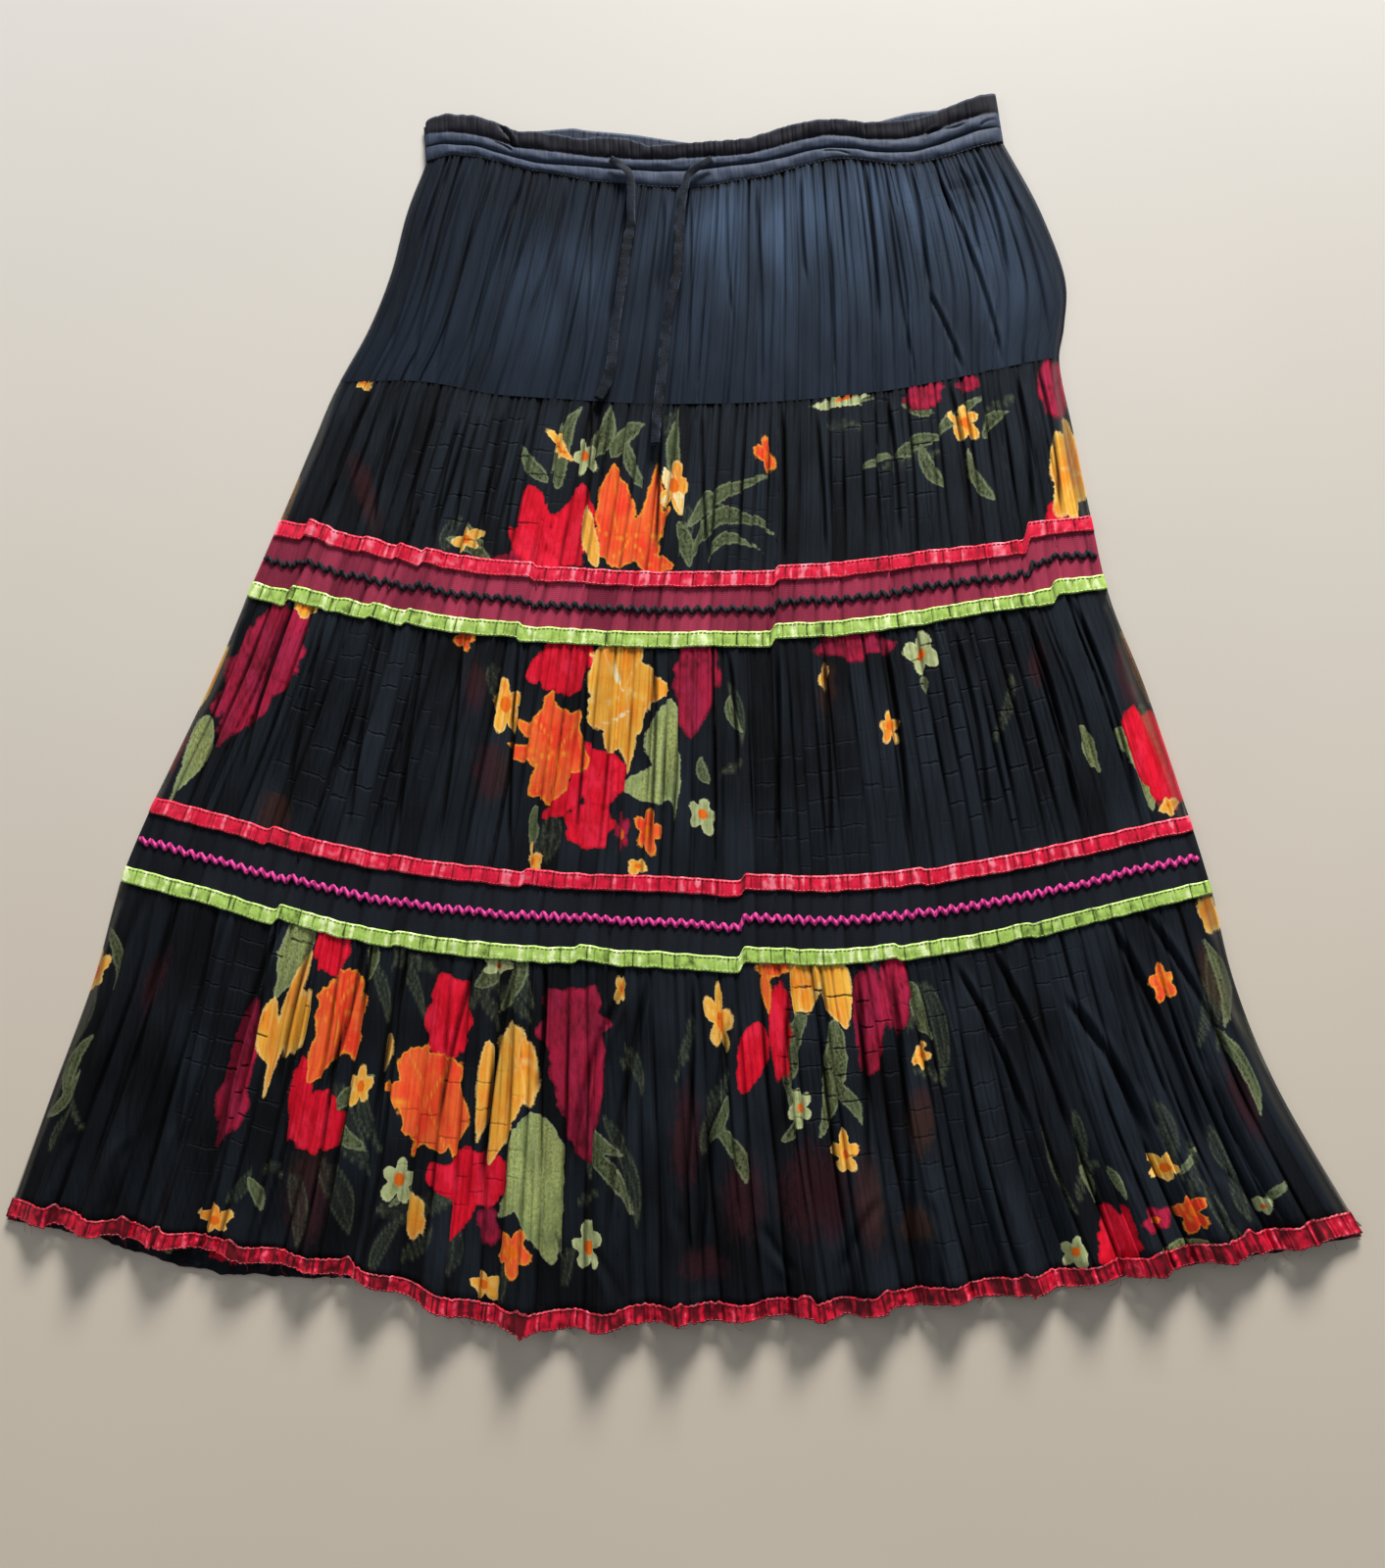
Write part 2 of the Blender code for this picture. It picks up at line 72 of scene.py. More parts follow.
# Ends of each row, and its height up the skirt at five even places across it.
Row = namedtuple("Row", "x_left x_right y_left y_quarter y_middle y_three y_right")
ROWS = {
    "waist_top_back": Row(-0.183, 0.243, 0.443, 0.430, 0.419, 0.433, 0.447),
    "waist_top": Row(-0.182, 0.243, 0.441, 0.418, 0.411, 0.424, 0.445),
    "channel_one": Row(-0.182, 0.245, 0.429, 0.408, 0.402, 0.413, 0.431),
    "channel_two": Row(-0.182, 0.246, 0.416, 0.398, 0.392, 0.403, 0.419),
    "waist_bottom": Row(-0.181, 0.248, 0.406, 0.388, 0.381, 0.391, 0.409),
    "yoke_upper": Row(-0.196, 0.275, 0.364, 0.337, 0.330, 0.336, 0.351),
    "yoke_middle": Row(-0.206, 0.290, 0.322, 0.300, 0.293, 0.296, 0.305),
    "yoke_lower": Row(-0.223, 0.289, 0.277, 0.257, 0.251, 0.257, 0.268),
    "yoke_bottom": Row(-0.244, 0.285, 0.238, 0.223, 0.214, 0.220, 0.244),
    "tier_two_middle": Row(-0.262, 0.294, 0.195, 0.168, 0.156, 0.164, 0.188),
    "band_one_top": Row(-0.289, 0.306, 0.128, 0.097, 0.084, 0.093, 0.119),
    "band_one_bottom": Row(-0.308, 0.314, 0.082, 0.053, 0.040, 0.051, 0.078),
    "tier_three_middle": Row(-0.337, 0.341, 0.010, -0.035, -0.053, -0.040, 0.000),
    "band_two_top": Row(-0.377, 0.369, -0.077, -0.121, -0.135, -0.130, -0.093),
    "band_two_bottom": Row(-0.397, 0.381, -0.127, -0.173, -0.188, -0.180, -0.137),
    "tier_four_upper": Row(-0.417, 0.396, -0.204, -0.252, -0.268, -0.255, -0.205),
    "tier_four_lower": Row(-0.444, 0.422, -0.282, -0.335, -0.349, -0.333, -0.274),
    "hem": Row(-0.475, 0.475, -0.373, -0.407, -0.436, -0.414, -0.371),
    "hem_back": Row(-0.475, 0.475, -0.376, -0.411, -0.434, -0.414, -0.374),
}
WAIST_ROWS = ["waist_top", "channel_one", "channel_two", "waist_bottom"]
SKIRT_ROWS = ["waist_bottom", "yoke_upper", "yoke_middle", "yoke_lower", "yoke_bottom",
              "tier_two_middle", "band_one_top", "band_one_bottom", "tier_three_middle",
              "band_two_top", "band_two_bottom", "tier_four_upper", "tier_four_lower", "hem"]
BACK_ROWS = SKIRT_ROWS[:-1] + ["hem_back"]

# Rows where the panels are joined; their folds run straight from one to the next.
SEAM_ROWS = ("waist_bottom", "yoke_bottom", "band_one_top", "band_one_bottom", "band_two_top",
             "band_two_bottom", "hem", "hem_back")

# The waistband's lines where the picture shows them: pixels across, pixels down.
WAIST_LINE_HEIGHT = 0.0075
WAIST_LINES = {
    "waist_top": [
        (433, 124), (439, 118), (457, 116), (485, 118), (507, 125), (520, 131), (526, 134), (550, 134),
        (572, 137), (587, 141), (592, 142), (600, 140), (626, 140), (648, 143), (658, 148), (665, 150),
        (673, 147), (698, 146), (724, 144), (758, 142), (773, 138), (793, 131), (814, 125), (836, 122),
        (853, 121), (864, 122), (873, 124), (894, 125), (912, 123), (933, 121), (949, 116), (977, 105),
        (998, 97), (1016, 93),
    ],
    "waist_top_back": [
        (433, 126), (470, 123), (505, 129), (524, 131), (550, 130), (572, 128), (587, 127), (592, 129),
        (615, 131), (648, 134), (680, 139), (702, 142), (730, 147), (800, 136), (860, 127), (885, 126),
        (892, 122), (912, 116), (933, 111), (955, 109), (968, 108), (985, 105), (1016, 95),
    ],
    "channel_one": [
        (433, 134), (463, 133), (491, 137), (507, 142), (524, 148), (572, 154), (604, 158), (648, 161),
        (680, 161), (728, 158), (760, 156), (782, 151), (803, 145), (825, 139), (847, 136), (868, 137),
        (890, 141), (912, 141), (933, 138), (955, 132), (977, 123), (998, 116), (1020, 112),
    ],
    "channel_two": [
        (433, 148), (448, 145), (485, 147), (507, 154), (528, 160), (550, 165), (593, 168), (632, 171),
        (665, 173), (700, 173), (724, 170), (760, 166), (782, 163), (803, 158), (825, 152), (847, 149),
        (873, 150), (890, 153), (912, 154), (933, 153), (955, 147), (977, 139), (998, 131), (1022, 127),
    ],
    "waist_bottom": [
        (434, 163), (444, 160), (463, 157), (491, 160), (518, 167), (539, 173), (572, 178), (600, 184),
        (637, 187), (665, 190), (695, 191), (724, 190), (745, 185), (782, 179), (803, 173), (825, 167),
        (847, 162), (868, 161), (890, 164), (912, 167), (933, 166), (955, 162), (977, 156), (998, 149),
        (1024, 142),
    ],
}

# Folds that lap a row over itself (step) or let it bulge (bump), along Y.  Place and
# reach are shares of the row, step and bump are in millimetres.
Fold = namedtuple("Fold", "place reach step bump")
FOLDS = {row: [Fold(*fold) for fold in folds] for row, folds in {
    "yoke_bottom": [(0.12, 0.12, 0, 5)],
    "band_one_top": [
        (0.04, 0.05, 5, 2), (0.070, 0.02, -1.5, 0), (0.112, 0.03, 2.2, 0), (0.155, 0.03, 3, 0),
        (0.187, 0.03, 4, 0), (0.325, 0.05, -3, 0), (0.62, 0.07, 4, 0), (0.92, 0.12, 12, 0),
    ],
    "band_one_bottom": [
        (0.05, 0.05, 6, 0), (0.095, 0.02, -1.5, 0), (0.147, 0.03, 2.5, 0), (0.190, 0.03, 3.2, 0),
        (0.325, 0.05, -3, 0), (0.62, 0.07, 6, 0), (0.94, 0.08, 6, 0),
    ],
    "band_two_top": [
        (0.12, 0.03, 3, 0), (0.24, 0.03, 2.2, 0), (0.37, 0.04, 3, 0), (0.75, 0.03, -2.5, 0),
        (0.58, 0.07, 6, 0),
    ],
    "band_two_bottom": [
        (0.15, 0.06, 6, 0), (0.26, 0.03, 2.2, 0), (0.43, 0.04, 3, 2), (0.72, 0.03, -3, 0),
        (0.84, 0.03, -2.2, 0), (0.58, 0.08, 8, 0),
    ],
    "hem": [(0.38, 0.14, 0, -16.4), (0.61, 0.05, -6, 0)],
    "hem_back": [(0.16, 0.12, 0, -11)],
}.items()}

# Height of the cloth's valleys, of its pleats and of its hem waves, row by row.
Relief = namedtuple("Relief", "lift pleat wave")
RELIEF = {
    "waist_bottom": Relief(0.0010, 0.0016, 0.0),
    "yoke_upper": Relief(0.0008, 0.0016, 0.0),
    "yoke_middle": Relief(0.0006, 0.0012, 0.0),
    "yoke_lower": Relief(0.0006, 0.0011, 0.0),
    "yoke_bottom": Relief(0.0008, 0.0013, 0.0),
    "tier_two_middle": Relief(0.0012, 0.0028, 0.0),
    "band_one_top": Relief(0.0016, 0.0010, 0.0),
    "band_one_bottom": Relief(0.0016, 0.0010, 0.0),
    "tier_three_middle": Relief(0.0014, 0.0033, 0.0),
    "band_two_top": Relief(0.0016, 0.0010, 0.0),
    "band_two_bottom": Relief(0.0016, 0.0012, 0.0),
    "tier_four_upper": Relief(0.0016, 0.0036, 0.0026),
    "tier_four_lower": Relief(0.0014, 0.0040, 0.0072),
    "hem": Relief(0.0006, 0.0028, 0.0142),
}

# Main creases placed one by one.  Ends and bow are in the picture's pixels, width and
# depth in millimetres.
Crease = namedtuple("Crease", "x y end_x end_y width depth bow")
CREASES = [Crease(*row) for row in (
    # the waistband's fold on the left, and wrinkles in its channels
    (509, 127, 525, 151, 1.3, 1.6, 2), (502, 143, 523, 154, 0.8, 0.9, 1), (511, 141, 530, 151, 0.7, 0.7, 1),
    (943, 140, 960, 129, 1, 0.9, 2), (962, 131, 986, 124, 1, 0.9, -2), (838, 154, 868, 157, 0.8, 0.6, 2),
    (1000, 128, 1018, 120, 1, 0.7, 2),
    # the yoke, from the left side fold to the right one
    (446, 172, 404, 300, 2.2, 1.6, -4), (462, 165, 395, 372, 1.8, 1.5, -8),
    (478, 163, 418, 386, 1.6, 1.9, -6), (505, 174, 442, 388, 1.5, 1.6, -5),
    (534, 186, 472, 390, 1.5, 1.8, -6), (556, 188, 493, 392, 1.3, 1.2, -4),
    (577, 190, 536, 330, 1.4, 1.4, 4), (604, 192, 590, 398, 1.3, 1, 3), (644, 196, 622, 340, 2, 1.8, -4),
    (676, 200, 668, 300, 1.6, 1.3, 3), (704, 196, 700, 398, 1.2, 1, 2), (742, 188, 748, 330, 1.2, 1, -3),
    (770, 186, 776, 396, 1.4, 1.3, 3), (817, 180, 823, 290, 1.3, 1.4, -2),
    (846, 240, 850, 392, 1.3, 1.2, 2), (882, 167, 896, 332, 1.4, 1.8, 3),
    (905, 180, 934, 384, 1.2, 1.2, -4), (927, 167, 946, 300, 1.6, 2, 4), (946, 296, 982, 378, 1.5, 1.8, 2),
    (953, 176, 1022, 370, 1.5, 1.7, 8), (975, 168, 998, 262, 1.4, 1.4, 3), (994, 162, 1027, 285, 1.6, 2, 6),
    (1016, 160, 1072, 362, 1.8, 1.9, 9), (1034, 200, 1080, 320, 1.6, 1.2, 6),
    (962, 196, 1012, 186, 1.2, 0.6, 4), (986, 216, 1040, 206, 1.1, 0.5, -3),
    (978, 170, 992, 212, 1.6, 1.4, 3),
    # tier two
    (382, 396, 330, 530, 1.6, 2, -4), (405, 420, 381, 540, 1.4, 2.4, -3),
    (446, 420, 413, 546, 1.4, 2.4, -3), (470, 426, 440, 560, 1.4, 2.2, -3),
    (490, 424, 462, 552, 1.2, 1.8, -3), (514, 420, 490, 552, 1.3, 2, -2),
    (540, 430, 514, 560, 1.2, 1.8, -3), (602, 412, 597, 520, 1.3, 1.6, 2), (672, 414, 668, 572, 1.3, 2, 2),
    (716, 420, 722, 570, 1.3, 1.8, -2), (797, 414, 799, 578, 1.4, 2.6, 2),
    (832, 420, 842, 568, 1.3, 1.8, 2), (905, 408, 918, 552, 1.4, 2.2, 3), (968, 392, 990, 540, 1.4, 2, 4),
    (1035, 380, 1052, 540, 1.6, 2.4, 5), (1058, 372, 1082, 528, 1.4, 2.2, 5),
    # tier three
    (262, 612, 214, 740, 1.8, 2.6, -4), (300, 616, 244, 800, 1.6, 2.8, -5),
    (334, 624, 292, 830, 1.5, 2.4, -4), (392, 634, 356, 850, 1.6, 2.8, -4),
    (436, 640, 405, 862, 1.6, 2.6, -3), (470, 650, 446, 870, 1.4, 2.2, 4),
    (530, 650, 520, 880, 1.4, 2.4, -3), (598, 662, 586, 860, 1.3, 2, 3), (668, 664, 660, 890, 1.4, 2, 3),
    (742, 664, 752, 800, 1.4, 2.2, 3), (792, 660, 790, 886, 1.6, 3, 3), (838, 660, 846, 880, 1.4, 2.4, 4),
    (900, 652, 926, 870, 1.6, 2.8, 6), (972, 640, 1010, 850, 1.6, 2.6, 6),
    (1042, 620, 1098, 838, 1.8, 3, 8), (1092, 612, 1160, 826, 1.8, 2.6, 8),
    # tier four
    (148, 914, 84, 1140, 3, 3.4, -10), (182, 922, 128, 1180, 2.6, 3.2, -8),
    (232, 930, 178, 1180, 2.2, 3, -6), (288, 940, 222, 1176, 2.2, 4, -8),
    (322, 950, 284, 1120, 1.8, 3.4, -4), (372, 958, 330, 1120, 1.8, 3, 5),
    (418, 972, 384, 1180, 2, 3.4, -5), (486, 984, 448, 1150, 1.8, 3.4, -4),
    (524, 990, 490, 1220, 1.8, 3.6, -4), (556, 984, 548, 1120, 1.6, 3.4, 3),
    (636, 1010, 582, 1200, 2.8, 4.4, -10), (664, 990, 618, 1280, 2.2, 3.4, -6),
    (706, 996, 700, 1210, 1.6, 2.6, 3), (748, 1030, 712, 1310, 2.6, 4, -6),
    (806, 1000, 800, 1160, 1.8, 3, -2), (874, 990, 884, 1220, 2, 3.4, 3), (908, 990, 930, 1290, 2, 3, 5),
    (974, 985, 1048, 1150, 2, 3.4, 7), (1010, 968, 1092, 1170, 2.2, 3.4, 8),
    (1086, 1020, 1168, 1160, 3, 4, 8), (1130, 940, 1230, 1180, 2.6, 3.4, 9),
    (1166, 930, 1280, 1150, 2.4, 3.2, 10), (1226, 950, 1352, 1196, 2.8, 3.2, 12),
    # dents between the hem's waves
    (52, 1212, 78, 1156, 3.6, 2.2, 4), (116, 1236, 138, 1160, 3.6, 2.4, 5),
    (168, 1250, 190, 1150, 3.6, 2.4, 5), (372, 1296, 404, 1232, 3.4, 2, 5),
    (456, 1330, 470, 1262, 3.4, 2, -4), (636, 1330, 606, 1272, 3.4, 2, -4),
    (712, 1330, 690, 1230, 4, 2.4, -5), (812, 1296, 778, 1250, 3.4, 2, 4),
    (862, 1300, 900, 1220, 3.6, 2.2, 6), (958, 1316, 948, 1220, 3.6, 2.2, -4),
    (1046, 1310, 1020, 1220, 3.6, 2, 4), (1184, 1288, 1150, 1190, 4, 2.2, -6),
    (1300, 1262, 1240, 1190, 4, 2.2, -6),
)]

# The drawstring's two free ends, from the casing down over the yoke.
LEFT_TIE = [
    (-0.0407, 0.3993, 0.0108), (-0.0348, 0.3954, 0.0110), (-0.0276, 0.3892, 0.0110),
    (-0.0254, 0.3811, 0.0109), (-0.0253, 0.3645, 0.0108), (-0.0253, 0.3496, 0.0108),
    (-0.0269, 0.3402, 0.0107), (-0.0295, 0.3237, 0.0105), (-0.0309, 0.3112, 0.0104),
    (-0.0337, 0.2906, 0.0103), (-0.0365, 0.2722, 0.0102), (-0.0382, 0.2576, 0.0101),
    (-0.0398, 0.2422, 0.0100), (-0.0434, 0.2284, 0.0099), (-0.0491, 0.2176, 0.0098),
]
RIGHT_TIE = [
    (0.0344, 0.3968, 0.0108), (0.0265, 0.3926, 0.0110), (0.0186, 0.3869, 0.0110), (0.0154, 0.3795, 0.0109),
    (0.0134, 0.3710, 0.0108), (0.0114, 0.3596, 0.0108), (0.0102, 0.3463, 0.0107), (0.0103, 0.3307, 0.0106),
    (0.0086, 0.3110, 0.0105), (0.0048, 0.2932, 0.0104), (0.0017, 0.2749, 0.0103), (-0.0006, 0.2559, 0.0102),
    (-0.0028, 0.2333, 0.0100), (-0.0053, 0.2115, 0.0103), (-0.0063, 0.1960, 0.0110),
    (-0.0069, 0.1825, 0.0116),
]

# ---- Camera ----

PICTURE_WIDTH = 1413
PICTURE_HEIGHT = 1600
FOCAL_PX = 1417.0
PX_A_METRE = 1438.0
CAMERA_PLACE = (0.0796, -0.1415, 0.992)
CAMERA_LOOK = (-0.06034, 0.07832, -0.99510)
PRINT_HEIGHT = 0.006


def camera_axes():
    """The camera's right, up and back directions."""
    look = Vector(CAMERA_LOOK).normalized()
    right = look.cross(Vector((0.0, 1.0, 0.0))).normalized()
    return right, right.cross(look), -look


def seen_at(x, y, z):
    """Where points of the skirt are seen in the picture, in its pixels."""
    right, up, back = (np.array(axis) for axis in camera_axes())
    offset = np.stack(np.broadcast_arrays(x, y, z), axis=-1) - np.array(CAMERA_PLACE)
    depth = -(offset @ back)
    px = 0.5 * PICTURE_WIDTH + FOCAL_PX * (offset @ right) / depth
    py = 0.5 * PICTURE_HEIGHT - FOCAL_PX * (offset @ up) / depth
    return px, py


def laid_at(px, py, z):
    """The point at a height z that is seen at a pixel of the picture."""
    right, up, back = camera_axes()
    ray = right * ((px - 0.5 * PICTURE_WIDTH) / FOCAL_PX)
    ray = ray - up * ((py - 0.5 * PICTURE_HEIGHT) / FOCAL_PX) - back
    reach = (z - CAMERA_PLACE[2]) / ray.z
    return CAMERA_PLACE[0] + reach * ray.x, CAMERA_PLACE[1] + reach * ray.y


def set_camera():
    """A camera almost straight above the skirt."""
    data = bpy.data.cameras.new("Camera")
    data.sensor_width = 36.0
    data.lens = 36.0 * FOCAL_PX / PICTURE_HEIGHT
    data.clip_start = 0.01
    camera = linked("Camera", data)
    right, up, back = camera_axes()
    turn = Matrix((right, up, back)).transposed().to_4x4()
    camera.matrix_world = Matrix.Translation(CAMERA_PLACE) @ turn
    bpy.context.scene.camera = camera


# ---- Smooth noise in numpy ----


def scatter(i, j, seed):
    """An even spread of values from 0 to 1 for whole numbers i and j."""
    mixed = (i.astype(np.int64) * 374761393 + j.astype(np.int64) * 668265263 + seed * 69069)
    mixed &= 0xFFFFFFFF
    mixed = ((mixed ^ (mixed >> 13)) * 1274126177) & 0xFFFFFFFF
    mixed ^= mixed >> 16
    return mixed / 4294967296.0


def chance(number, kind, seed):
    """One value from 0 to 1 for each whole number."""
    return scatter(number, 0 * number + kind, seed)


def ripple(x, y, seed):
    """Gradient noise, about -1 to 1, with one lump a unit."""
    x, y = np.broadcast_arrays(x, y)
    i, j = np.floor(x), np.floor(y)
    fx, fy = x - i, y - j
    sx = fx * fx * fx * (fx * (6.0 * fx - 15.0) + 10.0)
    sy = fy * fy * fy * (fy * (6.0 * fy - 15.0) + 10.0)

    def corner(di, dj):
        angle = 2.0 * math.pi * scatter(i + di, j + dj, seed)
        return np.cos(angle) * (fx - di) + np.sin(angle) * (fy - dj)

    top = corner(0, 0) * (1.0 - sx) + corner(1, 0) * sx
    bottom = corner(0, 1) * (1.0 - sx) + corner(1, 1) * sx
    return 1.5 * (top * (1.0 - sy) + bottom * sy)


def smooth(low, high, value):
    """0 below low, 1 above high, and smooth between them."""
    t = np.clip((value - low) / (high - low), 0.0, 1.0)
    return t * t * (3.0 - 2.0 * t)


def hump(away):
    """1 where away is 0, and 0 well away from it."""
    return np.exp(-away ** 2)


# ---- The laid-out form of the skirt ----


def across(values, place):
    """A smooth curve through five even values, read at places from 0 to 1."""
    values = np.array(values)
    padded = np.concatenate([[2 * values[0] - values[1]], values, [2 * values[-1] - values[-2]]])
    spans = len(values) - 1
    span = np.clip(np.floor(place * spans).astype(int), 0, spans - 1)
    t = place * spans - span
    before, a, b, after = (padded[span + k] for k in range(4))
    return 0.5 * (2.0 * a + (b - before) * t
                  + (2.0 * before - 5.0 * a + 4.0 * b - after) * t * t
                  + (3.0 * a - before - 3.0 * b + after) * t * t * t)


def row_points(name, place, folded=True):
    """x and y of a row at places across the skirt."""
    row = ROWS[name]
    x = row.x_left + (row.x_right - row.x_left) * place
    y = across(row[2:], place)
    if name in WAIST_LINES:
        line = np.array([laid_at(px, py, WAIST_LINE_HEIGHT) for px, py in WAIST_LINES[name]])
        steps = np.linspace(-0.004, 0.004, 7)
        y = sum(np.interp(x + step, line[:, 0], line[:, 1]) for step in steps) / 7
    for fold in FOLDS.get(name, []) if folded or name == "hem_back" else []:
        away = (place - fold.place) / fold.reach
        near = np.abs(away) < 1.0
        side = np.tanh(away * fold.reach / 0.0022)
        y = y + near * 0.5 * fold.step * MM * side * (1.0 - np.abs(away))
        y = y + near * fold.bump * MM * (0.5 + 0.5 * np.cos(math.pi * away))
    return x, y


def drop_of(name):
    """How far down the middle of the skirt a row lies below the waistband."""
    return ROWS["waist_bottom"].y_middle - ROWS[name].y_middle


def down_curve(knots, values, drop):
    """Smooth curves down the skirt through one line of values for each knot."""
    knots = np.array(knots)
    values = np.array(values)
    slopes = np.gradient(values, knots, axis=0)
    span = np.clip(np.searchsorted(knots, drop, side="right") - 1, 0, len(knots) - 2)
    width = knots[span + 1] - knots[span]
    t = (drop - knots[span]) / width
    shape = (-1,) + (1,) * (values.ndim - 1)
    t, width = t.reshape(shape), width.reshape(shape)
    return ((1 + 2 * t) * (1 - t) ** 2 * values[span] + t * (1 - t) ** 2 * width * slopes[span]
            + t * t * (3 - 2 * t) * values[span + 1] + t * t * (t - 1) * width * slopes[span + 1])


def plan(place, drop, back=False):
    """x and y of the laid-out cloth, one line for each drop."""
    rows = BACK_ROWS if back else SKIRT_ROWS
    points = [row_points(name, place, not back) for name in rows]
    knots = [drop_of("hem" if name == "hem_back" else name) for name in rows]
    y = down_curve(knots, [p[1] for p in points], drop)
    joined = [k for k, name in enumerate(rows) if name in SEAM_ROWS]
    x = 0.0
    for end, share in ((0, 1.0 - place), (1, place)):
        side = [ROWS[name][end] for name in rows]
        straight = np.interp(drop, [knots[k] for k in joined], [side[k] for k in joined])[:, None]
        curved = down_curve(knots, side, drop)[:, None]
        x = x + straight * share + (curved - straight) * share ** 6
    return x, y


def width_of(x):
    """The laid-out width of each line of a grid."""
    return x.max(axis=1, keepdims=True) - x.min(axis=1, keepdims=True)


def edge_fade(place):
    """0 at the side folds, 1 away from them."""
    near = np.clip(np.minimum(place, 1.0 - place) / EDGE_TAPER, 0.0, 1.0)
    return near * near * (3.0 - 2.0 * near)


def hem_wave(place):
    """0 in the troughs and up to 1 on the crests of the hem's waves."""
    phase = HEM_WAVES * place + 0.16 * np.sin(9.0 * place) + 0.10 * np.sin(23.0 * place)
    size = 0.74 + 0.16 * np.sin(5.3 * place * HEM_WAVES) + 0.10 * np.sin(31.0 * place)
    return size * (0.5 - 0.5 * np.cos(2.0 * math.pi * phase))


# One layer of pleats: which pleat a point is in, how far across it (0 to 1),
# metres to the nearest fold line and how deep that fold line is there.
Layer = namedtuple("Layer", "pleat inside gap depth")


def pleat_layer(place, drop, count, pitch, seed, wobble=0.13):
    """Unevenly spaced fold lines that run down the skirt and come and go."""
    along = place * count + 0.30 * ripple(place * count / 9.0, drop / 0.40, seed)
    base = np.floor(along)
    left, right = base - 9.0, base + 9.0
    pleat, right_line = base, base
    for k in range(-2, 4):
        number = base + k
        line = number + 0.85 * (chance(number, 0, seed + 1) - 0.5)
        line = line + wobble * ripple(number * 5.17, drop / 0.11, seed + 2)
        on_left = line <= along
        pleat = np.where(on_left & (line > left), number, pleat)
        left = np.where(on_left, np.maximum(left, line), left)
        right_line = np.where(~on_left & (line < right), number, right_line)
        right = np.where(on_left, right, np.minimum(right, line))
    inside = (along - left) / (right - left)
    gap = np.minimum(along - left, right - along) * pitch
    nearest = np.where(along - left < right - along, pleat, right_line)
    depth = 0.25 + 0.95 * chance(nearest, 0, seed + 3)
    depth = depth * (0.62 + 0.75 * ripple(nearest * 3.31, drop / 0.07, seed + 4))
    return Layer(pleat, inside, gap, np.clip(depth, 0.0, 1.25))


def groove_of(layer, width):
    """0 away from the fold lines, and up to 1 in them."""
    return layer.depth * hump(layer.gap / width)


def hand_creases(px, py):
    """The main creases: soft troughs with a low ridge beside each, and painted shade in the troughs."""
    total = np.zeros(px.shape)
    dark = np.zeros(px.shape)
    for crease in CREASES:
        wide, deep = crease.width * MM, crease.depth * MM
        run_x, run_y = crease.end_x - crease.x, crease.end_y - crease.y
        length = math.hypot(run_x, run_y)
        reach = 0.5 * length + 24.0
        dx, dy = px - crease.x, py - crease.y
        near = (np.abs(dx - 0.5 * run_x) < reach) & (np.abs(dy - 0.5 * run_y) < reach)
        dx, dy = dx[near], dy[near]
        t = (dx * run_x + dy * run_y) / length ** 2
        side = (dx * run_y - dy * run_x) / length - crease.bow * 4.0 * t * (1.0 - t)
        side = side / PX_A_METRE / wide
        shown = smooth(-0.04, 0.16, t) * smooth(1.04, 0.80, t)
        trough = hump(side)
        total[near] += deep * shown * (0.45 * hump((side - 1.9) / 1.2) - trough)
        depth_shown = min(1.0, 0.0008 * deep / wide ** 2)
        # dark: painted shade in the crease troughs, stronger where a crease is deep and narrow
        dark[near] = np.maximum(dark[near], shown * trough * depth_shown)
    return total, dark


def grid_of(first, last, across_count, down_count):
    """Even places across and drops down for a piece between two rows."""
    place = np.linspace(0.0, 1.0, across_count)
    return place, np.linspace(drop_of(first), drop_of(last), down_count)


def relief_at(drop):
    """Lift, pleat height and wave height at each drop."""
    knots = [drop_of(name) for name in SKIRT_ROWS]
    table = np.array([RELIEF[name] for name in SKIRT_ROWS])
    return np.clip(down_curve(knots, table, drop), 0.0, None).T


def band_swell(place):
    """Low, long folds of the trimmed bands."""
    swell = 0.5 + 0.32 * np.sin(37.0 * place + 1.0) + 0.18 * np.sin(71.0 * place)
    return 0.0014 * swell


# Places where the bands are lapped over themselves, seen as a dark upright fold.
Lap = namedtuple("Lap", "at_waist at_hem drop end_drop depth")
LAPS = [Lap(*row) for row in (
    (0.060, 0.045, 0.27, 0.55, 0.0012), (0.085, 0.120, 0.24, 0.50, 0.0010),
    (0.125, 0.140, 0.20, 0.42, 0.0008), (0.170, 0.150, 0.18, 0.62, 0.0013),
    (0.200, 0.235, 0.24, 0.80, 0.0014), (0.330, 0.340, 0.16, 0.60, 0.0011),
    (0.392, 0.385, 0.22, 0.62, 0.0011), (0.430, 0.470, 0.30, 0.80, 0.0015),
    (0.505, 0.500, 0.10, 0.50, 0.0010), (0.545, 0.560, 0.36, 0.78, 0.0012),
    (0.622, 0.606, 0.20, 0.81, 0.0016), (0.690, 0.700, 0.02, 0.36, 0.0009),
    (0.748, 0.760, 0.14, 0.60, 0.0013), (0.800, 0.820, 0.02, 0.42, 0.0010),
    (0.868, 0.880, 0.20, 0.70, 0.0012), (0.912, 0.900, 0.14, 0.50, 0.0016),
    (0.955, 0.950, 0.22, 0.78, 0.0010),
)]


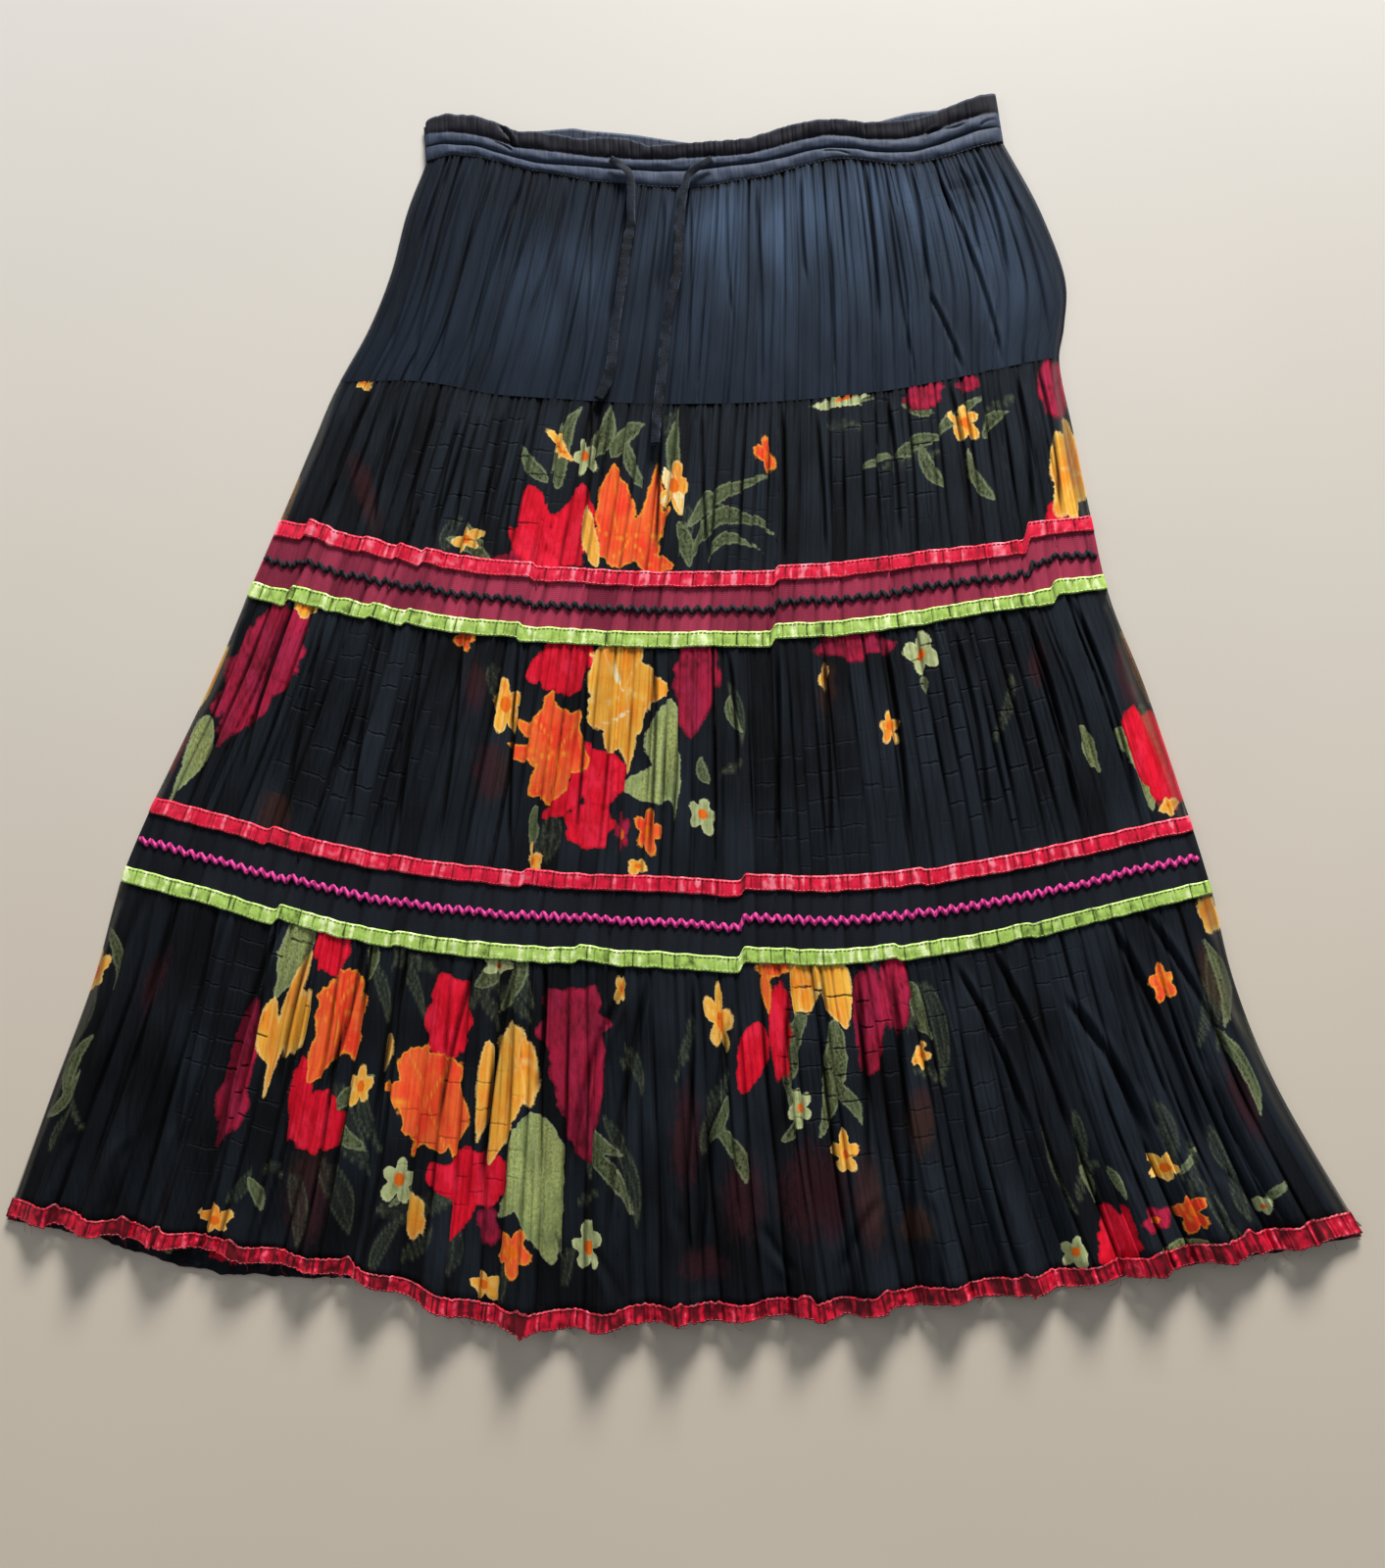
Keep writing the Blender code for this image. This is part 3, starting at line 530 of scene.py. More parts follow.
def lap_height(place, drop):
    """Cloth steps up over a lap and falls sharply beside it."""
    total = np.zeros(np.broadcast_shapes(place.shape, drop.shape))
    whole = drop_of("hem")
    for lap in LAPS:
        centre = lap.at_waist + (lap.at_hem - lap.at_waist) * drop / whole
        centre = centre + 0.003 * np.sin(drop * 31.0 + 40.0 * lap.at_waist)
        shown = smooth(lap.drop - 0.05, lap.drop, drop) * smooth(lap.end_drop + 0.06, lap.end_drop, drop)
        away = (place - centre) / 0.014
        lip = np.where(away < 0.0, np.exp(away * 1.6), -0.8 * np.exp(-away * 7.0))
        total = total + lap.depth * shown * lip
    return total


# Patches where level cracks cross the pleats.
Patch = namedtuple("Patch", "place drop reach_across reach_down amount")
PATCHES = [Patch(*row) for row in (
    (0.88, 0.045, 0.08, 0.040, 0.7), (0.24, 0.230, 0.10, 0.050, 0.8), (0.56, 0.250, 0.06, 0.040, 0.4),
    (0.76, 0.220, 0.07, 0.050, 0.9), (0.17, 0.430, 0.08, 0.070, 1.0), (0.66, 0.460, 0.07, 0.050, 0.7),
    (0.83, 0.420, 0.07, 0.080, 1.0), (0.145, 0.650, 0.05, 0.100, 1.0), (0.34, 0.700, 0.05, 0.050, 0.4),
    (0.66, 0.640, 0.05, 0.070, 1.0), (0.80, 0.610, 0.08, 0.035, 0.8), (0.74, 0.720, 0.06, 0.070, 0.7),
)]


def crackled(place, drop):
    """How cracked the cloth is, from 0 to 1."""
    total = 0.06
    for patch in PATCHES:
        across_it = ((place - patch.place) / patch.reach_across) ** 2
        down_it = ((drop - patch.drop) / patch.reach_down) ** 2
        total = np.maximum(total, patch.amount * smooth(1.5, 0.6, across_it + down_it))
    return total


# What a front panel's grid of points knows about itself.
Surface = namedtuple("Surface", "x y z groove shade slip_x slip_y course crack")


def front_surface(place, drop, seed, pleats, gathered_at=None, fold_width=0.0013, leaning=1.0):
    """The front cloth's points, with its fold lines, shading and print slips."""
    x, y = plan(place, drop)
    lift, pleat_height, wave_height = relief_at(drop)
    s, d = place[None, :], drop[:, None]
    width = width_of(x)
    main = pleat_layer(s, d, pleats, width / pleats, seed)
    fine = pleat_layer(s, d, pleats * 3.1, width / pleats / 3.1, seed + 40, 0.3)
    groove = groove_of(main, fold_width)
    hair = groove_of(fine, HAIR_FOLD)
    lean = chance(main.pleat, 0, seed + 5) - 0.5
    lean = lean + 0.5 * ripple(main.pleat * 2.71, d / 0.06, seed + 6)
    crown = np.clip(4.0 * main.inside * (1.0 - main.inside), 0.0, 1.0) ** 0.5
    body = 0.62 * (main.inside - 0.5) * lean + 0.34 * crown - 0.95 * groove - 0.22 * hair
    wide = ripple(s * 13.0, d / 0.14, seed + 12)
    crinkle = ripple(s * pleats * 2.3, d / 0.016, seed + 9)
    gathers = 0.0
    if gathered_at:
        below = np.clip(d - drop_of(gathered_at), 0.0, None)
        close = pleat_layer(s, d, pleats * 2.2, width / pleats / 2.2, seed + 60, 0.35)
        gathers = np.exp(-below / 0.014) * groove_of(close, 0.0010)
        y = y + 0.0009 * ripple(s * 150.0, 0.3, 44) * hump(below / 0.0035)
    creased, dark = hand_creases(*seen_at(x, y, PRINT_HEIGHT))
    fade = edge_fade(place)[None, :]
    wave = hem_wave(place)[None, :]
    rise = lift[:, None] + 0.0006 + 0.5 * band_swell(place)[None, :]
    rise = rise + pleat_height[:, None] * (body + 0.30 * wide + 0.07 * crinkle)
    rise = rise + wave_height[:, None] * wave + lap_height(s, d) + creased - 0.0012 * gathers
    z = FRONT_BASE + CLOTH_MIDDLE + fade * np.clip(rise, -0.0012, None)
    y = y - smooth(0.004, 0.0146, wave_height)[:, None] * HEM_FLARE * wave * fade
    roll = np.clip(np.minimum(place, 1.0 - place)[None, :] * width / SIDE_ROLL, 0, 1)
    z = BACK_LIFT + 0.0006 + (z - BACK_LIFT - 0.0006) * np.sqrt(1.0 - (1.0 - roll) ** 2)
    # shade: painted light and shade of each pleat, set by its lean and crown and varied at random, lighter
    # towards the top and the right and darker low down
    shade = 0.5 + 0.46 * leaning * lean + 0.26 * ripple(main.pleat * 1.9, d / 0.05, seed + 7)
    shade = shade + 0.24 * wide + 0.18 * (crown - 0.6)
    shade = shade + 0.20 * smooth(0.30, 0.18, d) + 0.26 * (s - 0.5) - 0.10 * smooth(0.5, 0.7, d)
    slip_x = 6.0 * (chance(main.pleat, 1, seed) - 0.5) + 1.4 * (chance(fine.pleat, 1, seed) - 0.5)
    slip_x = slip_x - 3.5 * (main.inside - 0.5)
    slip_y = 6.0 * (chance(main.pleat, 2, seed) - 0.5)
    course = d / CRACK_PITCH + 2.0 * chance(main.pleat, 3, seed)
    crack = (scatter(main.pleat, np.floor(course), seed + 1) > 0.30) * crackled(s, d)
    crack = crack * smooth(0.03, 0.12, main.inside) * smooth(0.97, 0.88, main.inside)
    # groove: painted shade in the fold lines, the fine folds, the crease troughs and the gathers
    groove = np.clip(0.85 * groove + 0.40 * hair + dark + 0.9 * gathers, 0.0, 1.3)
    return Surface(x, y, z, groove, np.clip(shade, 0.0, 1.0), slip_x, slip_y, course, crack)


# ---- Meshes ----

UP = np.array((0.0, 0.0, 1.0))


def linked(name, data):
    """A new object in the scene that shows a mesh, a camera or a lamp."""
    obj = bpy.data.objects.new(name, data)
    bpy.context.collection.objects.link(obj)
    return obj


def cloth_mesh(name, x, y, z, place, drop, face_up, values):
    """A sheet of cloth through a grid of points, with a UV map in metres."""
    lines, across_count = x.shape
    points = np.stack([x, y, z], axis=-1).reshape(-1, 3)
    index = np.arange(lines * across_count).reshape(lines, across_count)
    quads = np.stack([index[:-1, :-1], index[1:, :-1], index[1:, 1:], index[:-1, 1:]], axis=-1)
    if not face_up:
        quads = quads[..., ::-1]
    quads = quads.reshape(-1, 4)
    mesh = bpy.data.meshes.new(name)
    mesh.vertices.add(len(points))
    mesh.vertices.foreach_set("co", points.astype(np.float32).ravel())
    mesh.loops.add(quads.size)
    mesh.loops.foreach_set("vertex_index", quads.astype(np.int32).ravel())
    mesh.polygons.add(len(quads))
    mesh.polygons.foreach_set("loop_start", np.arange(0, quads.size, 4, dtype=np.int32))
    mesh.update(calc_edges=True)
    across_m = (place[None, :] - 0.5) * width_of(x)
    flat = np.stack(np.broadcast_arrays(across_m, -drop[:, None]), axis=-1).reshape(-1, 2)
    uv = mesh.uv_layers.new(name="cloth")
    uv.data.foreach_set("uv", flat[quads.ravel()].astype(np.float32).ravel())
    for key, value in values.items():
        layer = mesh.attributes.new(key, "FLOAT", "POINT")
        layer.data.foreach_set("value", np.broadcast_to(value, x.shape).astype(np.float32).ravel())
    mesh.shade_smooth()
    return linked(name, mesh)


def tube(path, profile, sideways, upward, girth):
    """Points and faces of a closed profile carried along a path."""
    count, sides = len(path), len(profile)
    a, b = np.array(profile).T[:, None, :, None]
    ring = a * sideways[:, None, :] + b * upward[:, None, :]
    points = (path[:, None, :] + np.reshape(girth, (-1, 1, 1)) * ring).reshape(-1, 3)
    faces = [(k + i, k + i + sides, k + j + sides, k + j) for k in range(0, (count - 1) * sides, sides)
             for i, j in zip(range(sides), [*range(1, sides), 0])]
    ends = [tuple(range(sides)), tuple(reversed(range((count - 1) * sides, count * sides)))]
    return points.tolist(), faces + ends


def outward_mesh(name, points, faces):
    """A mesh whose faces all look outward."""
    mesh = bpy.data.meshes.new(name)
    mesh.from_pydata(points, [], faces)
    shape = bmesh.new()
    shape.from_mesh(mesh)
    bmesh.ops.recalc_face_normals(shape, faces=shape.faces[:])
    shape.to_mesh(mesh)
    shape.free()
    return mesh


def swept_mesh(name, path, profile, sideways, upward, girth):
    """One tube as an object; its rim value is 1 at the profile's sides."""
    mesh = outward_mesh(name, *tube(path, profile, sideways, upward, girth))
    mesh.shade_smooth()
    reach = max(abs(a) for a, _ in profile)
    rim = np.tile([abs(a) / reach for a, _ in profile], len(path))
    mesh.attributes.new("rim", "FLOAT", "POINT").data.foreach_set("value", rim.astype(np.float32))
    return linked(name, mesh)


def turned_sideways(path):
    """Unit steps forward and to the side along a path."""
    forward = np.gradient(path, axis=0)
    forward /= np.linalg.norm(forward, axis=1, keepdims=True)
    side = np.cross(UP, forward)
    return forward, side / np.linalg.norm(side, axis=1, keepdims=True)


# ---- The print ----

# Places and sizes are in the picture's pixels.  turn is in degrees.
Bloom = namedtuple("Bloom", "dye x y half_width half_height petals pointed turn")
BLOOMS = [Bloom(*row) for row in (
    # tier two
    ("yellow", 373, 388, 9, 8, 4, 0.5, 20), ("red", 562, 556, 36, 32, 4, 0.1, 0),
    ("orange", 641, 552, 34, 28, 5, 0.2, 0), ("yellow", 686, 497, 17, 27, 5, 0.6, 10),
    ("yellow", 574, 458, 9, 19, 4, 0.6, 40), ("pale_green", 600, 468, 13, 19, 5, 0.6, 0),
    ("orange", 779, 466, 10, 24, 4, 0.6, 15), ("yellow", 478, 553, 17, 15, 5, 0.6, 30),
    ("pale_green", 862, 408, 30, 10, 4, 0.5, 10), ("crimson", 940, 404, 23, 17, 5, 0.2, 0),
    ("crimson", 986, 392, 12, 8, 4, 0.2, 0), ("yellow", 982, 430, 15, 20, 5, 0.6, 15),
    ("crimson", 1074, 398, 17, 36, 5, 0.15, 0), ("yellow", 1094, 480, 20, 54, 6, 0.25, 0),
    ("red", 1078, 522, 11, 14, 5, 0.3, 0),
    # tier three
    ("crimson", 262, 690, 34, 74, 7, 0.2, -28), ("yellow", 216, 684, 9, 34, 5, 0.3, -24),
    ("yellow", 311, 621, 12, 12, 4, 0.5, 0), ("orange", 473, 652, 9, 15, 4, 0.6, 0),
    ("red", 575, 674, 34, 28, 5, 0.15, 20), ("crimson", 708, 676, 25, 22, 5, 0.2, 0),
    ("yellow", 636, 706, 35, 50, 5, 0.12, 0), ("yellow", 515, 722, 16, 29, 5, 0.6, 0),
    ("orange", 568, 768, 30, 34, 5, 0.25, 10), ("red", 613, 792, 25, 34, 5, 0.12, 0),
    ("red", 600, 842, 22, 26, 5, 0.1, 0), ("crimson", 634, 850, 9, 20, 5, 0.5, 0),
    ("pale_green", 717, 830, 14, 19, 5, 0.6, 20), ("orange", 658, 848, 14, 24, 5, 0.6, 0),
    ("yellow", 547, 876, 9, 14, 4, 0.5, 0), ("yellow", 649, 882, 10, 10, 4, 0.5, 0),
    ("crimson", 868, 658, 36, 18, 5, 0.2, 0), ("yellow", 843, 690, 6, 14, 4, 0.5, 0),
    ("yellow", 908, 742, 10, 17, 5, 0.6, 0), ("pale_green", 940, 668, 16, 22, 4, 0.5, 10),
    ("red", 1183, 770, 24, 58, 6, 0.15, 22), ("yellow", 1194, 822, 9, 12, 4, 0.5, 0),
    # tier four
    ("yellow", 97, 990, 12, 24, 5, 0.6, -20), ("red", 341, 962, 21, 27, 5, 0.15, 0),
    ("orange", 346, 1030, 27, 36, 5, 0.2, -18), ("yellow", 303, 1046, 13, 34, 5, 0.15, -18),
    ("crimson", 242, 1120, 14, 36, 5, 0.2, -18), ("red", 322, 1146, 25, 36, 5, 0.15, -12),
    ("yellow", 371, 1110, 12, 22, 5, 0.6, -10), ("red", 456, 1034, 28, 42, 5, 0.2, 0),
    ("orange", 437, 1124, 40, 50, 6, 0.2, 0), ("yellow", 532, 1084, 18, 44, 5, 0.15, 4),
    ("red", 480, 1200, 34, 34, 5, 0.15, 0), ("crimson", 588, 1048, 36, 42, 5, 0.15, 6),
    ("pale_green", 406, 1200, 17, 24, 5, 0.6, 0), ("pale_green", 600, 1271, 19, 25, 5, 0.6, 0),
    ("yellow", 425, 1240, 11, 22, 5, 0.3, 0), ("yellow", 496, 1310, 15, 18, 5, 0.6, 30),
    ("yellow", 222, 1242, 18, 16, 5, 0.6, 10), ("yellow", 636, 1010, 7, 16, 4, 0.5, 0),
    ("orange", 525, 1274, 18, 25, 5, 0.6, 0), ("yellow", 737, 1042, 15, 36, 5, 0.6, 8),
    ("orange", 363, 1062, 9, 13, 4, 0.4, -20), ("crimson", 498, 1250, 10, 20, 4, 0.4, 0),
    ("pale_green", 511, 985, 15, 13, 5, 0.6, 0), ("yellow", 822, 1000, 17, 32, 5, 0.1, 0),
    ("orange", 788, 986, 22, 9, 5, 0.2, 0), ("red", 796, 1050, 14, 50, 4, 0.1, 0),
    ("crimson", 886, 1030, 19, 54, 5, 0.15, 0), ("crimson", 913, 1014, 15, 48, 5, 0.15, 0),
    ("pale_green", 818, 1130, 15, 22, 5, 0.6, 0), ("yellow", 940, 1075, 11, 15, 5, 0.6, 0),
    ("yellow", 863, 1178, 16, 22, 5, 0.6, 10), ("orange", 1188, 1001, 15, 20, 5, 0.6, 0),
    ("yellow", 1231, 930, 8, 20, 4, 0.4, 10), ("yellow", 1184, 1190, 17, 19, 5, 0.6, 0),
    ("orange", 1211, 1232, 18, 24, 5, 0.6, 20), ("crimson", 1177, 1246, 16, 14, 5, 0.5, 0),
    ("red", 1145, 1270, 22, 38, 6, 0.3, 10), ("pale_green", 1095, 1275, 14, 18, 5, 0.6, 0),
    ("pale_green", 1290, 1230, 10, 11, 4, 0.5, 0),
)]

# A leaf or long petal runs from its stalk to its tip, and bow is how far it bends.
Leaf = namedtuple("Leaf", "x y tip_x tip_y half_width bow dye glow", defaults=("leaf", 0.42))
LEAVES = [Leaf(*row) for row in (
    # tier two
    (572, 500, 596, 414, 9, 8), (604, 470, 622, 414, 8, -6), (622, 468, 660, 432, 9, 6),
    (656, 500, 640, 450, 6, 5), (560, 496, 534, 452, 7, 5), (455, 548, 500, 580, 6, 4),
    (500, 575, 478, 530, 6, 4), (690, 498, 692, 416, 7, 6), (704, 576, 798, 556, 9, 42),
    (722, 576, 776, 566, 6, 24), (704, 540, 790, 484, 7, 12), (690, 534, 704, 582, 8, 3),
    (726, 500, 700, 540, 7, 4), (838, 412, 898, 404, 7, 3), (915, 466, 962, 448, 8, 5),
    (962, 500, 938, 452, 7, 5), (1012, 512, 984, 456, 6, 6), (1000, 448, 1030, 418, 7, 5),
    (950, 424, 918, 410, 6, 3), (960, 446, 1004, 402, 6, 4), (880, 476, 916, 466, 4, 2),
    # long petals of the blooms
    (685, 500, 677, 474, 5, 1, "pale"), (688, 502, 694, 526, 5, 1, "pale"),
    (682, 500, 672, 512, 3, 1, "pale"), (566, 574, 541, 495, 20, 5, "red"),
    (570, 574, 598, 496, 21, -4, "red"), (560, 578, 520, 536, 13, 4, "red"),
    (548, 580, 500, 570, 9, -3, "crimson"), (634, 574, 624, 474, 21, 2, "orange"),
    (652, 562, 670, 472, 9, -5, "orange"), (646, 558, 684, 518, 11, 4, "orange"),
    (650, 566, 686, 580, 12, -3, "orange"), (606, 580, 600, 516, 7, 2, "yellow"),
    (590, 664, 578, 714, 13, 2, "red"), (552, 752, 529, 731, 6, 2, "orange"),
    (560, 770, 514, 761, 10, 2, "orange"), (568, 770, 562, 706, 19, 0, "orange"),
    (564, 772, 540, 816, 15, 4, "orange"), (572, 776, 560, 820, 11, 2, "orange"),
    (576, 776, 594, 722, 15, 4, "orange"), (596, 800, 554, 834, 13, 3, "red"),
    (600, 786, 594, 756, 12, 0, "red"), (632, 730, 618, 770, 15, 3, "yellow"),
    (626, 674, 640, 712, 2, -5, "pale"), (640, 726, 612, 738, 2, 3, "pale"),
    (642, 726, 640, 788, 10, -2, "yellow"), (646, 700, 680, 704, 15, 0, "yellow"),
    (706, 664, 706, 754, 21, 0, "crimson"), (716, 672, 736, 700, 10, 2, "crimson"),
    (276, 1084, 282, 1014, 12, 2, "yellow"), (318, 968, 270, 1122, 7, -3, "yellow"),
    (342, 1040, 316, 1104, 14, 3, "orange"), (352, 1010, 364, 986, 10, 0, "orange"),
    (312, 1076, 294, 1166, 11, 3, "red"), (264, 1018, 222, 1176, 12, 4, "crimson", 0.8),
    (446, 1100, 418, 1178, 14, 4, "orange"), (470, 1116, 460, 1178, 13, 4, "orange"),
    (428, 1090, 442, 1064, 10, 3, "orange"), (482, 1200, 462, 1268, 11, 2, "red"),
    (440, 1186, 470, 1214, 14, -4, "red"), (496, 1180, 504, 1224, 10, -3, "red"),
    (532, 1050, 502, 1188, 16, 3, "yellow"), (500, 1060, 489, 1166, 8, 2, "yellow"),
    (586, 1010, 600, 1188, 31, -2, "crimson"), (556, 1010, 572, 1040, 12, 2, "crimson"),
    (848, 976, 864, 1052, 16, -3, "yellow"), (772, 1040, 758, 1118, 14, 2, "red"),
    (777, 986, 782, 1034, 5, 0, "orange"), (886, 1050, 880, 1098, 13, 3, "crimson"),
    (400, 1056, 392, 1100, 4, 1, "yellow"), (256, 640, 222, 766, 13, 8, "crimson"),
    (288, 624, 250, 742, 13, 6, "crimson"),
    # tier three
    (213, 726, 172, 816, 12, 8, "leaf", 0.9), (198, 722, 226, 662, 6, 4),
    (670, 784, 682, 712, 17, 2, "leaf", 1.0), (690, 750, 690, 840, 11, -4, "leaf", 0.9),
    (696, 792, 632, 802, 19, 4, "leaf", 1.0), (545, 824, 541, 870, 8, 3), (940, 688, 946, 708, 4, 1),
    (1104, 742, 1122, 788, 8, -4, "leaf", 0.7), (1140, 744, 1180, 828, 12, 8, "leaf", 0.85),
    (745, 712, 758, 752, 5, -5), (722, 800, 716, 770, 5, 3),
    # tier four
    (314, 922, 282, 1018, 15, 4, "leaf", 0.85), (380, 952, 372, 1010, 8, 5), (110, 942, 116, 1010, 5, 6),
    (66, 1120, 96, 1052, 6, 8), (46, 1140, 80, 1090, 5, -5), (256, 1196, 268, 1236, 6, 4),
    (543, 1134, 562, 1292, 29, -3, "leaf", 1.0), (546, 1176, 510, 1244, 15, 3, "leaf", 0.95),
    (590, 1162, 648, 1240, 8, 8), (604, 1150, 640, 1180, 7, -5), (548, 1236, 574, 1290, 7, 4),
    (342, 1130, 388, 1098, 7, 6), (348, 1146, 376, 1176, 8, -5), (512, 976, 486, 1010, 9, 4),
    (536, 968, 512, 1034, 8, 5), (420, 1196, 396, 1228, 6, 4), (852, 1040, 838, 1160, 12, 6, "leaf", 0.5),
    (822, 1030, 804, 1130, 11, -8), (850, 1106, 880, 1150, 7, 5), (812, 1140, 792, 1164, 6, 3),
    (734, 1150, 764, 1206, 8, 6), (744, 1116, 722, 1172, 5, 4), (932, 1000, 954, 1060, 8, -6),
    (1102, 1186, 1118, 1226, 5, 3), (1176, 1290, 1254, 1268, 13, 4, "leaf", 0.75),
    (1230, 958, 1252, 1054, 6, 8), (1238, 1046, 1290, 1146, 6, 10), (1200, 1196, 1226, 1162, 4, 3),
    (1126, 1188, 1150, 1226, 4, 3), (1290, 1226, 1322, 1200, 5, 4),
)]

# Thin pale outlines of leaves in the dark ground.
SPRAYS = [Leaf(*row) for row in (
    (706, 1040, 688, 1100, 4, 3), (640, 1068, 656, 1118, 5, 4), (636, 1080, 640, 1092, 3, 1),
    (620, 1140, 650, 1250, 6, 9), (612, 1150, 600, 1200, 4, -3), (590, 1226, 616, 1218, 4, 2),
    (716, 1180, 740, 1110, 5, 5), (722, 1130, 748, 1090, 5, -3), (466, 1250, 462, 1300, 8, 4),
    (578, 1310, 588, 1270, 6, 4), (380, 1290, 410, 1236, 6, 4), (386, 1230, 460, 1220, 12, -6),
    (62, 1000, 84, 1150, 5, -8), (50, 1170, 74, 1130, 4, 2), (96, 1000, 70, 1070, 6, 3),
    (344, 1100, 380, 1200, 14, -8), (300, 1196, 306, 1270, 10, 4), (420, 936, 400, 990, 4, 3),
    (400, 960, 432, 1040, 5, 4), (500, 1000, 480, 1030, 5, 3), (1060, 1150, 1070, 1190, 3, 3),
    (1066, 1160, 1102, 1234, 5, -6), (1100, 1220, 1120, 1180, 5, 4), (1182, 1140, 1206, 1200, 5, -5),
    (1210, 1160, 1212, 1216, 6, 3), (1222, 1196, 1290, 1280, 7, -10), (1262, 1196, 1276, 1244, 7, -3),
    (1234, 970, 1240, 1070, 6, 5), (1258, 1030, 1290, 1090, 4, 4), (1230, 1000, 1222, 1070, 4, 3),
    (944, 1000, 962, 1100, 6, 6), (932, 1090, 966, 1104, 4, 3), (940, 1000, 926, 1050, 5, 3),
    (1030, 690, 1012, 760, 4, 4), (744, 700, 756, 762, 4, 4), (756, 780, 736, 790, 3, 2),
    (500, 680, 506, 716, 8, 2), (540, 870, 566, 852, 5, 2), (562, 830, 556, 880, 7, 3),
    (452, 560, 470, 528, 6, 3), (704, 520, 690, 574, 6, 3), (1000, 440, 1036, 402, 5, 4),
    (900, 480, 960, 464, 5, 3), (680, 440, 690, 416, 5, 2), (842, 436, 880, 440, 4, 2),
    (384, 985, 396, 1045, 5, 3), (416, 972, 452, 992, 5, -3), (500, 1000, 542, 1042, 6, 4),
    (530, 972, 546, 1030, 6, -4), (488, 1008, 512, 1052, 5, 3), (234, 1222, 260, 1190, 6, -4),
    (408, 1284, 442, 1250, 6, -5), (512, 1328, 522, 1288, 7, 4), (270, 1190, 292, 1200, 4, 3),
    (330, 1180, 356, 1262, 12, 6), (372, 1120, 390, 1176, 6, -5), (470, 1180, 436, 1236, 7, 4),
    (1096, 1130, 1104, 1206, 5, 4), (1236, 1150, 1262, 1200, 6, -4), (1176, 1120, 1196, 1176, 5, 4),
)]

# Back print that shows faintly through the front.
Ghost = namedtuple("Ghost", "x y half_width half_height turn")
GHOSTS = [Ghost(*row) for row in (
    (372, 500, 12, 46, 15), (500, 790, 22, 34, 0), (484, 700, 14, 30, 0), (850, 1220, 16, 56, 0),
    (934, 1250, 22, 22, 0), (322, 1232, 12, 30, 0), (846, 704, 10, 32, 0), (760, 1220, 24, 50, 0),
    (1056, 676, 9, 26, 0), (1240, 1000, 12, 44, 18), (720, 1290, 30, 20, 0), (700, 1160, 18, 60, 0),
    (160, 1000, 12, 40, -20), (1100, 870, 26, 14, 0), (940, 1140, 16, 40, 0), (826, 1214, 40, 56, 0),
    (886, 1226, 16, 60, 6), (316, 1216, 26, 60, -8), (280, 830, 18, 24, -10), (1268, 1120, 14, 50, 24),
    (1150, 690, 10, 40, 12),
)]
DYES = ("crimson", "red", "orange", "yellow", "pale", "pale_green", "leaf")
OUTSIDE_PX = -8.0


def turned(mark, px, py):
    """Points in a bloom's or ghost's own turned frame, where its edge is at 1."""
    turn = math.radians(mark.turn)
    dx, dy = px - mark.x, py - mark.y
    a = (dx * math.cos(turn) - dy * math.sin(turn)) / mark.half_width
    b = (dx * math.sin(turn) + dy * math.cos(turn)) / mark.half_height
    return a, b


def along_leaf(leaf, px, py):
    """Points near a leaf: which, how far along, how far to its side, and inside it."""
    run = np.array([leaf.tip_x - leaf.x, leaf.tip_y - leaf.y], dtype=float)
    length = np.hypot(*run)
    run = run / length
    dx, dy = px - leaf.x, py - leaf.y
    reach = 0.5 * length + leaf.half_width + abs(leaf.bow) + 12.0
    near = (np.abs(dx - 0.5 * length * run[0]) < reach) & (np.abs(dy - 0.5 * length * run[1]) < reach)
    dx, dy = dx[near], dy[near]
    t = (dx * run[0] + dy * run[1]) / length
    side = dx * run[1] - dy * run[0] - leaf.bow * 4.0 * t * (1.0 - t)
    width = leaf.half_width * np.sin(math.pi * np.clip(t, 0.0, 1.0) ** 0.75) ** 0.8
    beyond = np.maximum(np.maximum(-t, t - 1.0), 0.0) * length
    return near, t * length, side, width - np.abs(side) - beyond


def draw_bloom(values, number, bloom, px, py, wobble):
    """Add one bloom to the print: its outline, petals, veins and heart."""
    reach = 1.4 * max(bloom.half_width, bloom.half_height) + 8
    near = (np.abs(px - bloom.x) < reach) & (np.abs(py - bloom.y) < reach)
    a, b = turned(bloom, px[near], py[near])
    radius, angle = np.hypot(a, b), np.arctan2(b, a)
    lobes = np.abs(np.cos(0.5 * bloom.petals * angle + 0.9 * number))
    uneven = 1.0 + 0.13 * np.sin(angle + 2.3 * number) + 0.09 * np.sin(2.0 * angle + 1.1 * number)
    if bloom.pointed < 0.5:
        edge = 0.92 + bloom.pointed * (lobes ** 0.6 - 0.35)
        edge = edge + 0.05 * np.cos((bloom.petals + 3) * angle + 1.7 * number)
    else:
        edge = 1.0 - bloom.pointed * 0.95 * (1.0 - lobes ** 0.8)
    edge = edge * uneven
    small = min(bloom.half_width, bloom.half_height)
    inside = (edge + wobble[near] * (1.4 if small > 20 else 0.8) - radius) * small
    bent = angle + 0.5 * radius * math.sin(2.0 * number + 1.0)
    split = np.abs(np.sin(0.5 * bloom.petals * bent + 0.9 * number))
    veins = hump(split * np.maximum(radius, 0.15) * small / 1.6) * (small > 14)
    swirl = 0.35 * np.abs(np.sin(bloom.petals * bent + 4.0 * radius))
    spread = np.clip(radius / np.maximum(edge, 0.2), 0.0, 1.0) * 0.7 + swirl
    values[bloom.dye][near] = np.maximum(inside, values[bloom.dye][near])
    for key, drawn in (("tone", spread), ("vein", veins), ("glow", 1.0)):
        values[key][near] = np.where(inside > -1.5, drawn, values[key][near])
    if bloom.pointed > 0.45 and small < 24:
        values["heart"][near] = np.maximum(values["heart"][near], (0.30 - radius) * small)


